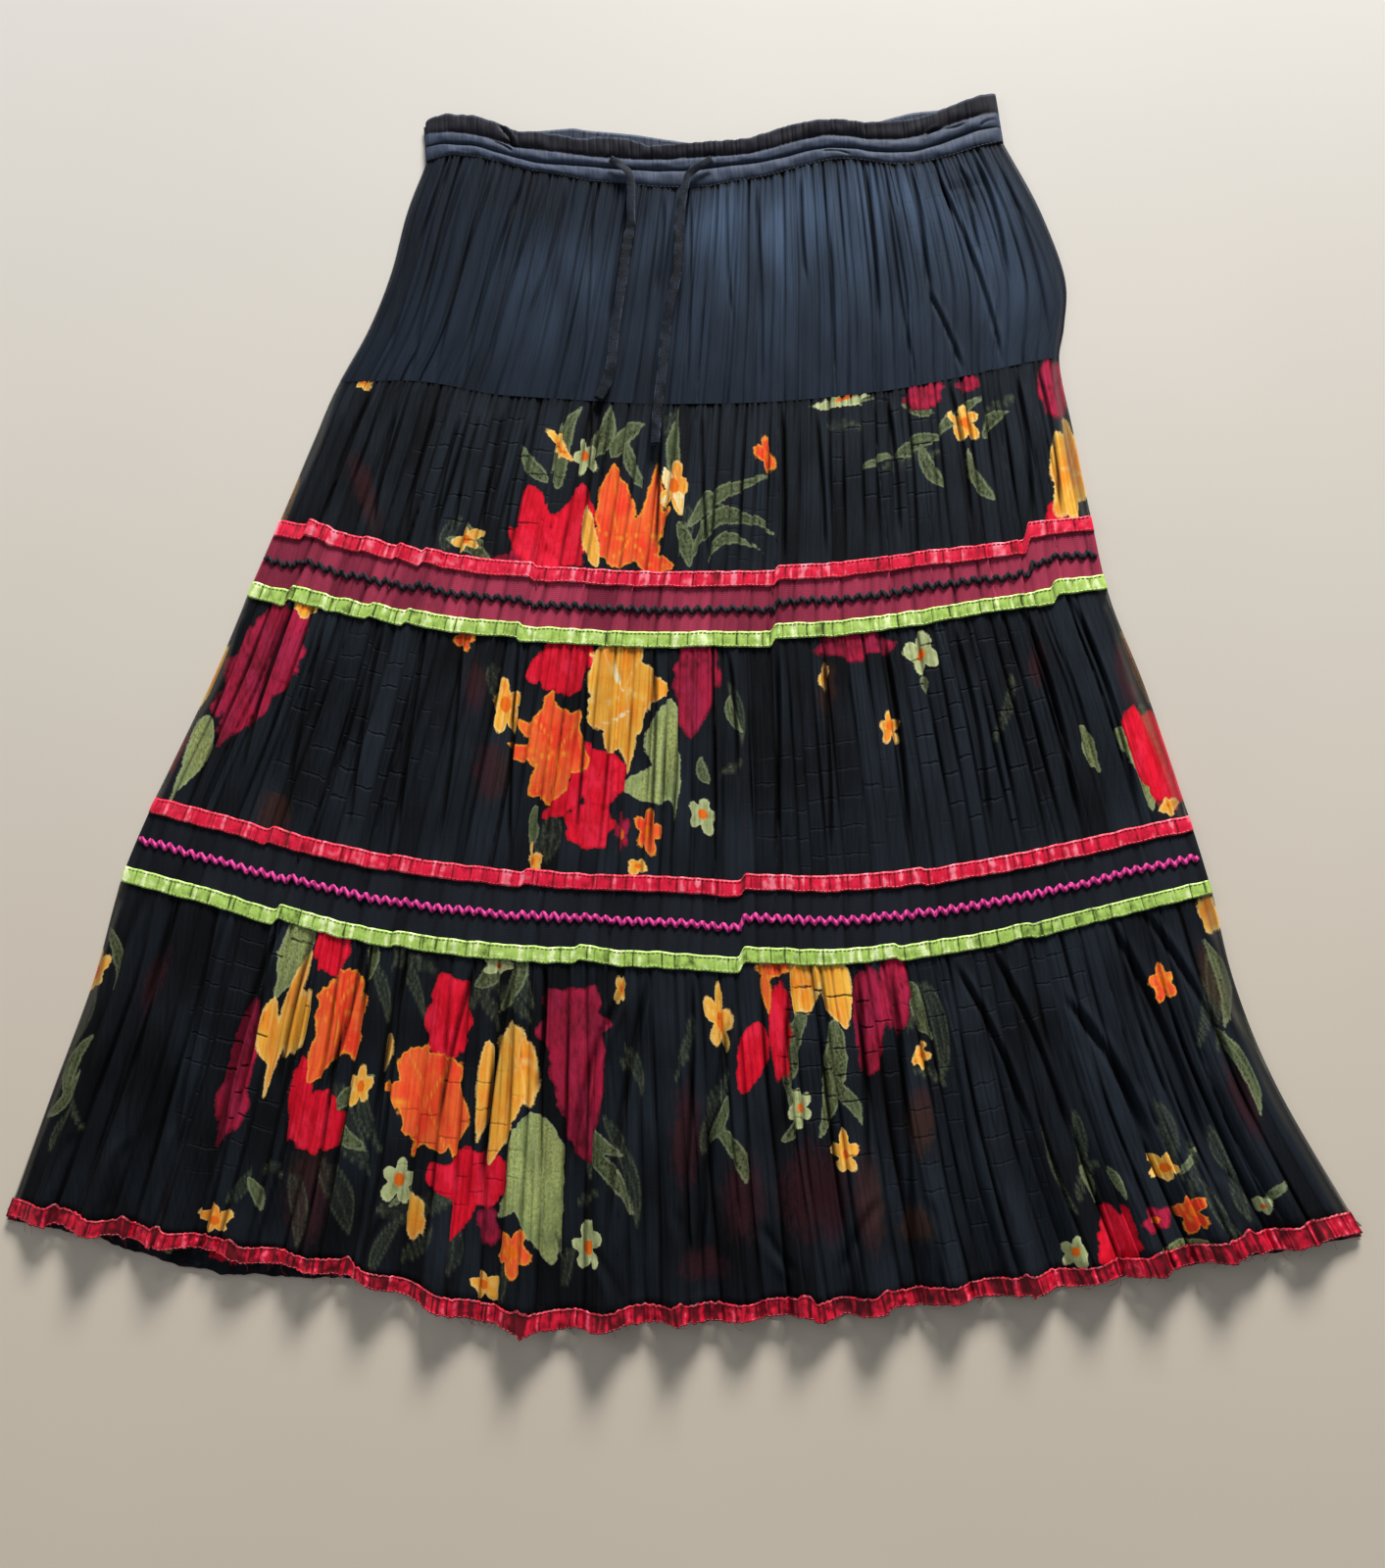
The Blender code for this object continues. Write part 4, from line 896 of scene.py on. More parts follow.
def draw_leaf(values, leaf, px, py, wobble):
    """Add one leaf or long petal to the print, with its midrib and ribs."""
    near, run, side, inside = along_leaf(leaf, px, py)
    inside = inside + 1.6 * wobble[near] * leaf.half_width
    field = values[leaf.dye]
    field[near] = np.maximum(inside, field[near])
    shown = (inside > -1.0) & (inside >= field[near] - 0.01)
    green = leaf.dye == "leaf"
    veins = hump(side / 0.9) * (1.0 if green else 0.5)
    if green:
        veins = np.maximum(0.5 * hump(np.sin((run - np.abs(side) * 1.1) * 0.42) / 0.25), veins)
    spread = np.clip(0.3 + np.abs(side) / leaf.half_width, 0, 1)
    for key, drawn in (("tone", spread), ("vein", veins), ("glow", leaf.glow if green else 1.0)):
        values[key][near] = np.where(shown, drawn, values[key][near])


def print_fields(px, py):
    """How far inside each dye's shapes a point lies, in pixels, and its shading."""
    values = {key: np.full(px.shape, OUTSIDE_PX) for key in DYES + ("heart",)}
    values.update({key: np.zeros(px.shape) for key in ("tone", "vein", "spray", "ghost")})
    values["glow"] = np.full(px.shape, 0.5)
    wobble = ripple(px / 13.0, py / 13.0, 71) * 0.07 + ripple(px / 4.5, py / 4.5, 72) * 0.05
    for leaf in SPRAYS:
        near, _, side, inside = along_leaf(leaf, px, py)
        outline = hump((inside - 0.3) / 0.9) + (0.5 * hump(side / 0.8) + 0.22) * (inside > 0)
        values["spray"][near] = np.maximum(values["spray"][near], np.clip(outline, 0.0, 1.0))
    for number, bloom in enumerate(BLOOMS):
        draw_bloom(values, number, bloom, px, py, wobble)
    for leaf in LEAVES:
        draw_leaf(values, leaf, px, py, wobble)
    for mark in GHOSTS:
        shown = np.clip(1.3 - np.hypot(*turned(mark, px, py)), 0.0, 1.0)
        values["ghost"] = np.maximum(values["ghost"], shown)
    for dye in DYES:
        values[dye] = np.clip(values[dye], OUTSIDE_PX, -OUTSIDE_PX)
    return values


# ---- Materials ----


class Number:
    """A number socket; an expression on it adds the Math nodes."""

    def __init__(self, finish, socket):
        self.finish = finish
        self.socket = socket

    def _math(self, operation, *others):
        return self.finish.number("ShaderNodeMath", {"operation": operation}, self, *others)

    def __add__(self, other):
        return self._math("ADD", other)

    __radd__ = __add__

    def __sub__(self, other):
        return self._math("SUBTRACT", other)

    def __rsub__(self, other):
        return self.finish.number("ShaderNodeMath", {"operation": "SUBTRACT"}, other, self)

    def __mul__(self, other):
        return self._math("MULTIPLY", other)

    __rmul__ = __mul__

    def __abs__(self):
        return self._math("ABSOLUTE")

    def fraction(self):
        return self._math("FRACT")

    def clipped(self):
        return self.finish.number("ShaderNodeClamp", {}, self)

    def ramp(self, low, high):
        """0 below low, 1 above high."""
        settings = {"interpolation_type": "SMOOTHSTEP"}
        return self.finish.number("ShaderNodeMapRange", settings, self, low, high, 0.0, 1.0)


class Finish:
    """A material under construction."""

    def __init__(self, name):
        self.material = bpy.data.materials.new(name)
        self.material.use_nodes = True
        self.tree = self.material.node_tree
        self.shader = self.tree.nodes["Principled BSDF"]

    def node(self, kind, settings, *values, **named):
        """Add a node: its settings first, then its sockets by order or by name."""
        node = self.tree.nodes.new(kind)
        for key, value in settings.items():
            setattr(node, key, value)
        pairs = list(zip(node.inputs, values))
        pairs += [(node.inputs[key.replace("_", " ")], value) for key, value in named.items()]
        for socket, value in pairs:
            self.feed(socket, value)
        return node

    def feed(self, socket, value):
        """Link or set one socket; a colour is given as red, green and blue."""
        if isinstance(value, Number):
            value = value.socket
        if isinstance(value, bpy.types.NodeSocket):
            self.tree.links.new(value, socket)
        else:
            socket.default_value = value + (1.0,) if socket.type == "RGBA" else value

    def number(self, kind, settings, *values, **named):
        return Number(self, self.node(kind, settings, *values, **named).outputs[0])

    def attribute(self, name):
        node = self.node("ShaderNodeAttribute", {"attribute_name": name})
        return Number(self, node.outputs["Fac"])

    def cloth_uv(self):
        return self.node("ShaderNodeUVMap", {"uv_map": "cloth"}).outputs[0]

    def place(self):
        return self.node("ShaderNodeTexCoord", {}).outputs["Object"]

    def stretched(self, vector, x, y, z=1.0):
        """A vector scaled along each axis."""
        return self.node("ShaderNodeVectorMath", {"operation": "MULTIPLY"},
                         vector, (x, y, z)).outputs[0]

    def noise(self, vector, scale, detail=2.0, roughness=0.5):
        node = self.node("ShaderNodeTexNoise", {}, Vector=vector, Scale=scale,
                         Detail=detail, Roughness=roughness)
        return Number(self, node.outputs["Fac"])

    def grain(self, uv, across, along, detail=2.0, roughness=0.5):
        """Noise with its own number of lumps a metre across and along the cloth."""
        return self.noise(self.stretched(uv, across, along), 1.0, detail, roughness)

    def wave(self, vector, scale, direction="X", distortion=0.0):
        node = self.node("ShaderNodeTexWave", {"bands_direction": direction},
                         Vector=vector, Scale=scale, Distortion=distortion)
        return Number(self, node.outputs["Fac"])

    def blend(self, factor, first, second, mode="MIX"):
        """A colour between two colours."""
        node = self.node("ShaderNodeMix", {"data_type": "RGBA", "blend_type": mode})
        for entry, value in ((0, factor), (6, first), (7, second)):
            self.feed(node.inputs[entry], value)
        return node.outputs[2]

    def surface(self, base, rough, height, distance, strength, shine, **named):
        """Set the Principled shader's sockets and return the material."""
        if height is not None:
            bump = self.node("ShaderNodeBump", {}, Strength=strength, Distance=distance,
                             Height=height)
            named["Normal"] = bump.outputs[0]
        named.update(Base_Color=base, Roughness=rough, Specular_IOR_Level=shine)
        for key, value in named.items():
            self.feed(self.shader.inputs[key.replace("_", " ")], value)
        return self.material


def weave_height(finish, uv, pitch):
    """Plain weave: crossing threads one pitch apart."""
    turns = math.pi / (pitch * 20.0)
    return finish.wave(uv, turns, "X") * finish.wave(uv, turns, "Y")


def crack_line(finish, uv):
    """Painted shade in short level cracks across the pleats, and a painted highlight on the lip beside
    each.
    """
    waver = (finish.grain(uv, 160.0, 160.0) - 0.5) * 0.22
    away = abs((finish.attribute("course") + waver).fraction() - 0.5)
    crack = finish.attribute("crack")
    return away.ramp(0.070, 0.0) * crack, away.ramp(0.13, 0.06) * crack


def crinkle(finish, uv):
    """Fine upright streaks and threads of crinkled cloth."""
    return finish.grain(uv, 480.0, 22.0, 3.0, 0.65), finish.grain(uv, 1900.0, 700.0)


def scaled(colour, amount):
    return tuple(amount * part for part in colour)


YOKE_DARK, YOKE_LIGHT = (0.0024, 0.0040, 0.0074), (0.0112, 0.0195, 0.0350)
YOKE_SHEEN = (0.056, 0.091, 0.156)
GROUND_DARK, GROUND_LIGHT = (0.0020, 0.0026, 0.0038), (0.0160, 0.0225, 0.0320)


def yoke_finish():
    """Navy-charcoal crinkled cloth with a painted satin-like sheen, and painted light and shade on its
    pleats.
    """
    finish = Finish("yoke_cloth")
    uv = finish.cloth_uv()
    streak, thread = crinkle(finish, uv)
    crack, _ = crack_line(finish, uv)
    cloud = finish.grain(uv, 12.0, 16.0, 3.0, 0.55)
    shade = finish.attribute("shade")
    # tone: painted light and shade from the shade attribute, mixed with random streaks and clouds
    tone = (shade * 0.55 + streak * 0.55 + cloud * 0.5 - 0.30).ramp(0.05, 0.95)
    base = finish.blend(tone, YOKE_DARK, YOKE_LIGHT)
    # painted sheen where the light falls on the satin
    glow = (finish.attribute("sheen") * (streak * 0.9 + shade * 0.5 + 0.1)).clipped()
    base = finish.blend(glow, base, YOKE_SHEEN)
    # painted shade in the fold lines and cracks
    dark = (finish.attribute("groove") * 0.95 + crack * 0.3).clipped()
    base = finish.blend(dark, base, (0.0012, 0.0016, 0.0026))
    height = streak * 0.6 + thread * 0.2 - crack * 0.4
    return finish.surface(base, 0.70 - streak * 0.12, height, 0.0007, 0.55, 0.11,
                          Alpha=finish.attribute("cover"))


# One dye of the print: its dark and light tones, its lines, where it pools, how
# strong the lines and the rim are, and what drives the tone.
Dye = namedtuple("Dye", "name dark light line pool lines rim amount")
PRINT_DYES = [Dye(*row) for row in (
    ("leaf", (0.020, 0.030, 0.016), (0.480, 0.560, 0.190), (0.400, 0.480, 0.250),
     (0.200, 0.270, 0.100), 0.5, 0.75, "leafy"),
    ("crimson", (0.180, 0.010, 0.026), (0.600, 0.016, 0.070), (0.100, 0.004, 0.012),
     (0.420, 0.022, 0.080), 0.6, 0.55, "deep"),
    ("red", (0.620, 0.004, 0.016), (0.980, 0.010, 0.042), (0.560, 0.004, 0.012),
     (1.000, 0.026, 0.075), 0.6, 0.55, "petal"),
    ("orange", (1.000, 0.090, 0.018), (1.000, 0.190, 0.050), (1.000, 0.440, 0.035),
     (0.980, 0.036, 0.022), 0.8, 0.6, "petal"),
    ("yellow", (0.980, 0.370, 0.024), (1.000, 0.590, 0.090), (1.000, 0.760, 0.280),
     (1.000, 0.270, 0.018), 0.6, 0.55, "petal"),
    ("pale", (0.980, 0.480, 0.030), (0.980, 0.840, 0.420), (1.000, 0.900, 0.600),
     (0.980, 0.840, 0.420), 0.6, 0.55, "petal"),
    ("pale_green", (0.230, 0.290, 0.090), (0.600, 0.680, 0.330), (0.700, 0.740, 0.420),
     (0.600, 0.680, 0.330), 0.6, 0.55, "petal"))]


def darkened(finish, amount, base, tint):
    """A colour that is multiplied by a tint where the amount is 1."""
    return finish.blend(amount, base, finish.blend(1.0, base, tint, "MULTIPLY"))


def chiffon_finish():
    """Black crinkled chiffon printed with blooms, small flowers and leaves."""
    finish = Finish("printed_chiffon")
    uv = finish.cloth_uv()
    streak, thread = crinkle(finish, uv)
    crack, crack_highlight = crack_line(finish, uv)
    shade, groove, tone, vein, glow = (
        finish.attribute(name) for name in ("shade", "groove", "tone", "vein", "glow"))
    rough_edge = (finish.noise(uv, 520.0, 3.0, 0.6) - 0.5) * 3.4
    paint = finish.grain(uv, 420.0, 120.0, 3.0, 0.65)
    mottle = finish.grain(uv, 560.0, 420.0, 4.0, 0.8)
    cloud = finish.grain(uv, 9.0, 12.0)
    # light: painted light and shade from the shade attribute, mixed with random streaks and clouds
    light = (shade * 0.62 + streak * 0.45 + cloud * 0.45 - 0.34).ramp(0.0, 0.95)
    ground = finish.blend(light, GROUND_DARK, GROUND_LIGHT)
    hue = finish.grain(uv, 7.0, 5.0, 1.0)
    behind = finish.blend(hue.ramp(0.36, 0.50), (0.058, 0.022, 0.012), (0.046, 0.008, 0.014))
    behind = finish.blend(mottle.ramp(0.50, 0.70) * 0.7, behind, (0.040, 0.036, 0.016))
    ghost = (finish.attribute("ghost") + (paint - 0.5) * 1.5).ramp(0.20, 0.85)
    # painted highlight on the lip beside each crack
    ground = finish.blend(crack_highlight * 0.24, ground, (0.034, 0.044, 0.058))
    ground = finish.blend(ghost * 0.62, ground, behind)
    spray = finish.attribute("spray") * mottle.ramp(0.30, 0.62) * 0.75
    base = finish.blend(spray, ground, (0.115, 0.140, 0.080))
    pooled = finish.grain(uv, 62.0, 30.0, 3.0, 0.6) + (paint - 0.5) * 0.3
    pooled = pooled.ramp(0.44, 0.66) * 0.75
    petal = (tone * 0.45 + paint * 0.75 - 0.12).ramp(0.15, 0.95)
    amounts = {"leafy": (glow * glow * 0.72 + (mottle - 0.5) * 2.8 + 0.10).clipped(),
               "petal": petal, "deep": (glow * petal + (shade - 0.5) * 0.4).clipped()}
    for dye in PRINT_DYES:
        field = finish.attribute(dye.name) + rough_edge
        inside = field.ramp(-0.8, 0.8)
        if dye.name == "leaf":
            inside *= (glow * 0.90 + 0.12).clipped()
        ink = finish.blend(amounts[dye.amount], dye.dark, dye.light)
        ink = finish.blend(pooled, ink, dye.pool)
        drawn = (vein * dye.lines + field.ramp(2.6, 0.9) * dye.rim).clipped()
        base = finish.blend(inside, base, finish.blend(drawn, ink, dye.line))
    heart = (finish.attribute("heart") + rough_edge * 0.6).ramp(-0.5, 0.9)
    base = finish.blend(heart, base, (0.95, 0.18, 0.012))
    shadow = (1.16 - shade * 1.30 - streak * 0.50).clipped() * 0.64
    base = darkened(finish, shadow, base, (0.40, 0.34, 0.36))
    # painted shade in the fold lines and cracks
    base = darkened(finish, (groove * 1.05 + crack * 0.90).clipped(), base, (0.07, 0.06, 0.08))
    height = streak * 0.5 + thread * 0.2 - crack * 0.8
    return finish.surface(base, 0.82 - streak * 0.12, height, 0.0007, 0.6, 0.10,
                          Alpha=finish.attribute("cover"))


def band_finish(name, dark, light):
    """Plain woven band cloth with painted soft upright shading."""
    finish = Finish(name)
    uv = finish.cloth_uv()
    streak = finish.grain(uv, 150.0, 16.0, 3.0, 0.6)
    slub = finish.grain(uv, 260.0, 2000.0)
    warp = finish.grain(uv, 2000.0, 260.0)
    shade = finish.attribute("shade")
    # tone: painted light and shade from the shade attribute, mixed with random streaks and slubs
    tone = (streak * 0.40 + shade * 0.50 + slub * 0.14 + warp * 0.14).ramp(0.22, 0.88)
    base = finish.blend(tone, dark, light)
    # painted shade in the fold lines
    base = finish.blend((finish.attribute("groove") * 0.85).clipped(), base, scaled(dark, 0.22))
    height = weave_height(finish, uv, 0.0007) * 0.4 + slub * 0.4 + warp * 0.4
    return finish.surface(base, 0.82, height, 0.0004, 0.6, 0.12)


def satin_finish(name, dark, middle, light, thread_colour):
    """Satin ribbon: painted light and shade of short bright flats between dark puckers, with stitched
    edges.
    """
    finish = Finish(name)
    uv = finish.cloth_uv()
    rim = finish.attribute("rim")
    flat = finish.grain(uv, 210.0, 120.0, 3.0, 0.6)
    fibre = finish.grain(uv, 110.0, 2600.0)
    # gleam: painted light and shade of the puckers and their glints
    gleam = finish.attribute("pucker") * 1.05 + (flat - 0.5) * 0.75 + (fibre - 0.5) * 0.15
    base = finish.blend(gleam.ramp(0.0, 0.50), dark, middle)
    base = finish.blend(gleam.ramp(0.60, 1.10), base, light)
    stitch = finish.grain(uv, 330.0, 60.0, 1.0).ramp(0.40, 0.60)
    base = finish.blend(rim.ramp(0.80, 0.95) * stitch * 0.30, base, thread_colour)
    height = fibre * 0.2 + flat * 0.7 + rim.ramp(0.6, 0.9) * 0.3
    return finish.surface(base, 0.30 + flat * 0.25, height, 0.0009, 0.7, 0.35)


def braid_finish(name, dark, light):
    """Rickrack: ribbed matte braid."""
    finish = Finish(name)
    place = finish.place()
    rib = finish.wave(finish.stretched(place, 1.0, 0.35), 160.0, "DIAGONAL", 1.5)
    fuzz = finish.noise(place, 2400.0)
    base = finish.blend((rib * 0.5 + fuzz * 0.5).ramp(0.2, 0.8), dark, light)
    return finish.surface(base, 0.8, rib * 0.6 + fuzz * 0.4, 0.0005, 0.8, 0.2)


def thread_finish(name, colour):
    """Sewing thread."""
    finish = Finish(name)
    twist = finish.wave(finish.place(), 700.0, "DIAGONAL")
    base = finish.blend(twist, colour, scaled(colour, 1.7))
    return finish.surface(base, 0.6, None, 0.0, 0.0, 0.5)


def floor_finish():
    """A plain pale floor."""
    finish = Finish("pale_floor")
    place = finish.place()
    grain = finish.noise(place, 3.0, 3.0)
    near = finish.blend(grain, (0.66, 0.58, 0.48), (0.72, 0.64, 0.53))
    far = finish.blend(grain, (0.60, 0.58, 0.55), (0.66, 0.64, 0.61))
    away = Number(finish, finish.node("ShaderNodeSeparateXYZ", {}, place).outputs["Y"])
    base = finish.blend(away.ramp(-0.6, 0.8), near, far)
    return finish.surface(base, 0.6, None, 0.0, 0.0, 0.25)


def waistband_finish():
    """Slate-blue puffed channels, a browner gathered frill and dark seam lines, partly painted shade in
    their grooves.
    """
    finish = Finish("waistband_cloth")
    uv = finish.cloth_uv()
    streak = finish.grain(uv, 520.0, 60.0, 3.0, 0.6)
    patch = finish.grain(uv, 60.0, 90.0, 3.0)
    fine = finish.grain(uv, 2200.0, 1400.0)
    tone = (streak * 0.5 + patch * 0.3 + finish.attribute("gather") * 0.12).ramp(0.22, 0.72)
    base = finish.blend(tone, (0.018, 0.025, 0.044), (0.058, 0.080, 0.134))
    brown = finish.blend(tone, (0.0060, 0.0058, 0.0090), (0.034, 0.033, 0.047))
    base = finish.blend(finish.attribute("frill"), base, brown)
    base = finish.blend(finish.attribute("lip"), base, (0.095, 0.115, 0.160))
    # painted shade in the seam grooves, folds, creases and buttonholes, and the darker stitched line along
    # the bottom
    dark = (finish.attribute("seam") * 0.85 + finish.attribute("groove") * 0.7).clipped()
    base = finish.blend(dark, base, (0.0022, 0.0024, 0.0036))
    return finish.surface(base, 0.62, streak * 0.5 + fine * 0.3, 0.0005, 0.6, 0.16)


def tape_finish():
    """The drawstring's folded tape."""
    finish = Finish("drawstring_cloth")
    place = finish.place()
    fuzz = finish.noise(place, 900.0, 3.0)
    patch = finish.noise(place, 120.0)
    base = finish.blend((fuzz * 0.5 + patch * 0.6).ramp(0.35, 0.75),
                        (0.0018, 0.0025, 0.0046), (0.0105, 0.0155, 0.0265))
    edge = finish.attribute("rim").ramp(0.70, 0.98) * patch.ramp(0.40, 0.60) * 0.7
    base = finish.blend(edge, base, (0.060, 0.080, 0.120))
    return finish.surface(base, 0.7, fuzz, 0.0005, 0.7, 0.15)


# ---- Pieces ----

BACK_GRID = (380, 28)
BAND_GRID = (700, 14)
BAND_BACK_GRID = (200, 8)
BAND_SEED, BAND_PLEATS = 61, 40
YOKE_COVER = (0.58, 0.006, 0.007)
PRINT_COVER = (0.46, 0.009, 0.013)
TRIMMED_ROWS = SEAM_ROWS[2:-1]

# Each gathered panel, its grid of points, its folds and how much they lean.
Panel = namedtuple("Panel", "name first last across down pleats seed fold_width leaning")
PANELS = [Panel(*row) for row in (
    ("yoke", "waist_bottom", "yoke_bottom", 1000, 44, 58, 11, 0.0008, 0.55),
    ("tier_two", "yoke_bottom", "band_one_top", 950, 50, 54, 23, 0.0011, 1.0),
    ("tier_three", "band_one_bottom", "band_two_top", 1050, 58, 60, 37, 0.0011, 1.0),
    ("tier_four", "band_two_bottom", "hem", 1050, 70, 64, 53, 0.0012, 1.0))]
BANDS = (("band_one", "band_one_top", "band_one_bottom", "burgundy_cloth"),
         ("band_two", "band_two_top", "band_two_bottom", "black_cloth"))

# Broad blooms of light on the yoke: place, drop, reach across and down, strength.
YOKE_LIGHTS = ((0.80, 0.030, 0.16, 0.042, 0.85), (0.55, 0.030, 0.13, 0.040, 0.85),
               (0.27, 0.075, 0.08, 0.040, 0.50), (0.66, 0.100, 0.22, 0.045, 0.26),
               (0.93, 0.090, 0.05, 0.060, 0.35))


def finished(obj, material, node):
    """Give a piece its material, hang it on the root body and hide the part that it stands for."""
    obj.data.materials.clear()
    obj.data.materials.append(material)
    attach(obj, "root")
    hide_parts(node)
    return obj


def cover_of(place, drop, x, sheer, left, right):
    """How much the cloth covers: sheer in the side margins, where nothing backs it."""
    uneven = 1.0 + 0.5 * ripple(drop / 0.05, 0.3, 7)[:, None]
    from_left = place[None, :] * width_of(x) / (left * uneven)
    from_right = (1.0 - place)[None, :] * width_of(x) / (right * uneven)
    streaks = 0.10 * ripple(place * 160.0, 0.5, 8)[None, :]
    inward = np.minimum(from_left, from_right)
    fold = 0.35 * smooth(0.14, 0.04, inward)
    return np.clip(sheer + streaks + fold + (1.0 - sheer) * smooth(0.45, 1.0, inward), 0.2, 1.0)


def yoke_sheen(place, drop):
    """Broken light on the yoke's satin face."""
    s, d = place[None, :], drop[:, None]
    glow = sum(strength * np.exp(-((s - at) / wide) ** 2 - ((d - down) / tall) ** 2)
               for at, down, wide, tall, strength in YOKE_LIGHTS)
    return np.clip(glow * (0.72 + 0.7 * ripple(s * 22.0, d / 0.05, 5)), 0.0, 1.0)


def panel_cloth(materials, panel, place, drop, x):
    """A panel's cover, material and slot: the yoke's plain cloth or the tiers' print."""
    if panel.name == "yoke":
        return cover_of(place, drop, x, *YOKE_COVER), materials["yoke"], "charcoal_cloth"
    return cover_of(place, drop, x, *PRINT_COVER), materials["chiffon"], "printed_chiffon"


def front_panels(materials):
    """The four crinkled front panels."""
    panels = {}
    hem = drop_of("hem")
    for panel in PANELS:
        place, drop = grid_of(panel.first, panel.last, panel.across, panel.down)
        cloth = front_surface(place, drop, panel.seed, panel.pleats, panel.first,
                              panel.fold_width, panel.leaning)
        x, y, z = cloth.x, cloth.y, cloth.z
        s, below = place[None, :], (drop - drop_of(panel.first))[:, None]
        # seam: painted shade along the top seam, uneven in width; puckered: painted light and shade on the
        # gathers below it
        seam = hump(below / 0.0018) * (0.7 + 0.8 * ripple(s * 130.0, 0.4, 45))
        puckered = np.exp(-below / 0.007) * ripple(s * 210.0, below / 0.012, 46)
        values = {"groove": np.clip(cloth.groove + 0.8 * seam, 0.0, 1.3),
                  "shade": np.clip(cloth.shade + 0.7 * puckered, 0.0, 1.0),
                  "course": cloth.course, "crack": cloth.crack}
        values["cover"], material, slot = panel_cloth(materials, panel, place, drop, x)
        if panel.name == "yoke":
            values["crack"] = 0.35 * cloth.crack
            values["groove"] = values["groove"] * (1.0 - 0.45 * smooth(0.04, 0.14, drop))[:, None]
            values["sheen"] = yoke_sheen(place, drop)
        else:
            px, py = seen_at(x, y, PRINT_HEIGHT)
            values.update(print_fields(px + cloth.slip_x, py + cloth.slip_y))
        if panel.last == "hem":
            covered = smooth(hem - HEM_RIBBON_WIDTH - 0.001, hem - 0.009, drop)[:, None]
            z = z + covered * (np.maximum(FRONT_BASE - 0.0008, z - 0.0030) - z)
            y = y + 0.0040 * smooth(hem - 0.008, hem, drop)[:, None]
        name = panel.name + "_front"
        obj = cloth_mesh(name + "_cloth", x, y, z, place, drop, True, values)
        panels[name] = finished(obj, material, name)
    return panels


def ragged_hem(place):
    """How far the back hem strays up or down along its length."""
    return 0.0022 * ripple(place * 44.0, 0.4, 97) + 0.0011 * ripple(place * 170.0, 0.4, 98)


def back_panels(materials):
    """The back panels, flat on the floor with a light crinkle, facing down."""
    panels = {}
    hem = drop_of("hem")
    for panel in PANELS:
        place, drop = grid_of(panel.first, panel.last, *BACK_GRID)
        x, y = plan(place, drop, back=True)
        s, d = place[None, :], drop[:, None]
        main = pleat_layer(s, d, panel.pleats, width_of(x) / panel.pleats, panel.seed + 100)
        groove = groove_of(main, BACK_FOLD)
        px, py = seen_at(-x, y, PRINT_HEIGHT)
        creased, dark = hand_creases(px, py)
        y = y + smooth(hem - 0.012, hem, d) * edge_fade(s) * ragged_hem(s)
        near_trim = np.max([smooth(0.016, 0.009, np.abs(d - drop_of(name))) for name in TRIMMED_ROWS],
                           axis=0)
        z = BACK_LIFT + 0.0005 * groove + np.clip(-0.12 * creased, -0.0002, 0.0005)
        z = z + TRIM_LIFT * near_trim
        lean = chance(main.pleat, 0, panel.seed + 105)
        # groove and shade: painted shade in the folds and creases, and painted light and shade of each
        # pleat
        values = {"groove": np.clip(0.8 * groove + dark, 0, 1), "shade": 0.25 + 0.5 * lean,
                  "course": d / CRACK_PITCH + 2.0 * lean, "crack": 0.5}
        values["cover"], material, slot = panel_cloth(materials, panel, place, drop, x)
        if panel.name == "yoke":
            values["sheen"] = 0.25
        else:
            slip = 9.0 * (chance(main.pleat, 1, panel.seed) - 0.5)
            values.update(print_fields(px + slip, py + 1.3 * slip))
        name = panel.name + "_back"
        obj = cloth_mesh(name + "_cloth", x, y, z, place, drop, False, values)
        panels[name] = finished(obj, material, name)
    return panels


def bands(materials):
    """The plain bands between the ribbons, front and back."""
    panels = {}
    for band, first, last, slot in BANDS:
        place, drop = grid_of(first, last, *BAND_GRID)
        cloth = front_surface(place, drop, BAND_SEED, BAND_PLEATS)
        # groove and shade: painted shade in the folds, and painted light and shade of the pleats
        values = {"groove": 0.8 * cloth.groove, "shade": cloth.shade}
        name = band + "_front"
        obj = cloth_mesh(name + "_cloth", cloth.x, cloth.y, cloth.z, place, drop, True, values)
        panels[name] = finished(obj, materials[band], name)
        place, drop = grid_of(first, last, *BAND_BACK_GRID)
        x, y = plan(place, drop, back=True)
        z = np.full(x.shape, BACK_LIFT + TRIM_LIFT)
        name = band + "_back"
        obj = cloth_mesh(name + "_cloth", x, y, z, place, drop, False, {"groove": 0.0, "shade": 0.5})
        panels[name] = finished(obj, materials[band], name)
    return panels


def pucker_lines(place, width, seed, pitch=PUCKER_PITCH):
    """Puckers along a ribbon: their height, and painted light and shade of uneven flats with dark turns and
    a narrow gleam.
    """
    layer = pleat_layer(place, 0.0, width / pitch, pitch, seed, 0.0)
    turn = 0.25 + 0.85 * chance(np.round(place * width / pitch), 0, seed + 6)
    turn = turn * hump(layer.gap / 0.0006)
    lean = chance(layer.pleat, 0, seed + 1) - 0.5
    height = 1.7 * lean * (layer.inside - 0.5) - 0.75 * turn
    level = chance(layer.pleat, 1, seed + 2)
    spot = 0.2 + 0.6 * chance(layer.pleat, 2, seed + 3)
    gleam = hump((layer.inside - spot) / 0.16) * (chance(layer.pleat, 3, seed + 4) > 0.45)
    slope = 0.75 * lean * (layer.inside - 0.5)
    # bright: painted light and shade of each pucker, with a painted glint on some
    bright = 0.30 + 0.40 * level + slope + 0.45 * gleam - 0.62 * turn
    return height[None, :], np.clip(bright, 0.0, 1.2)[None, :]


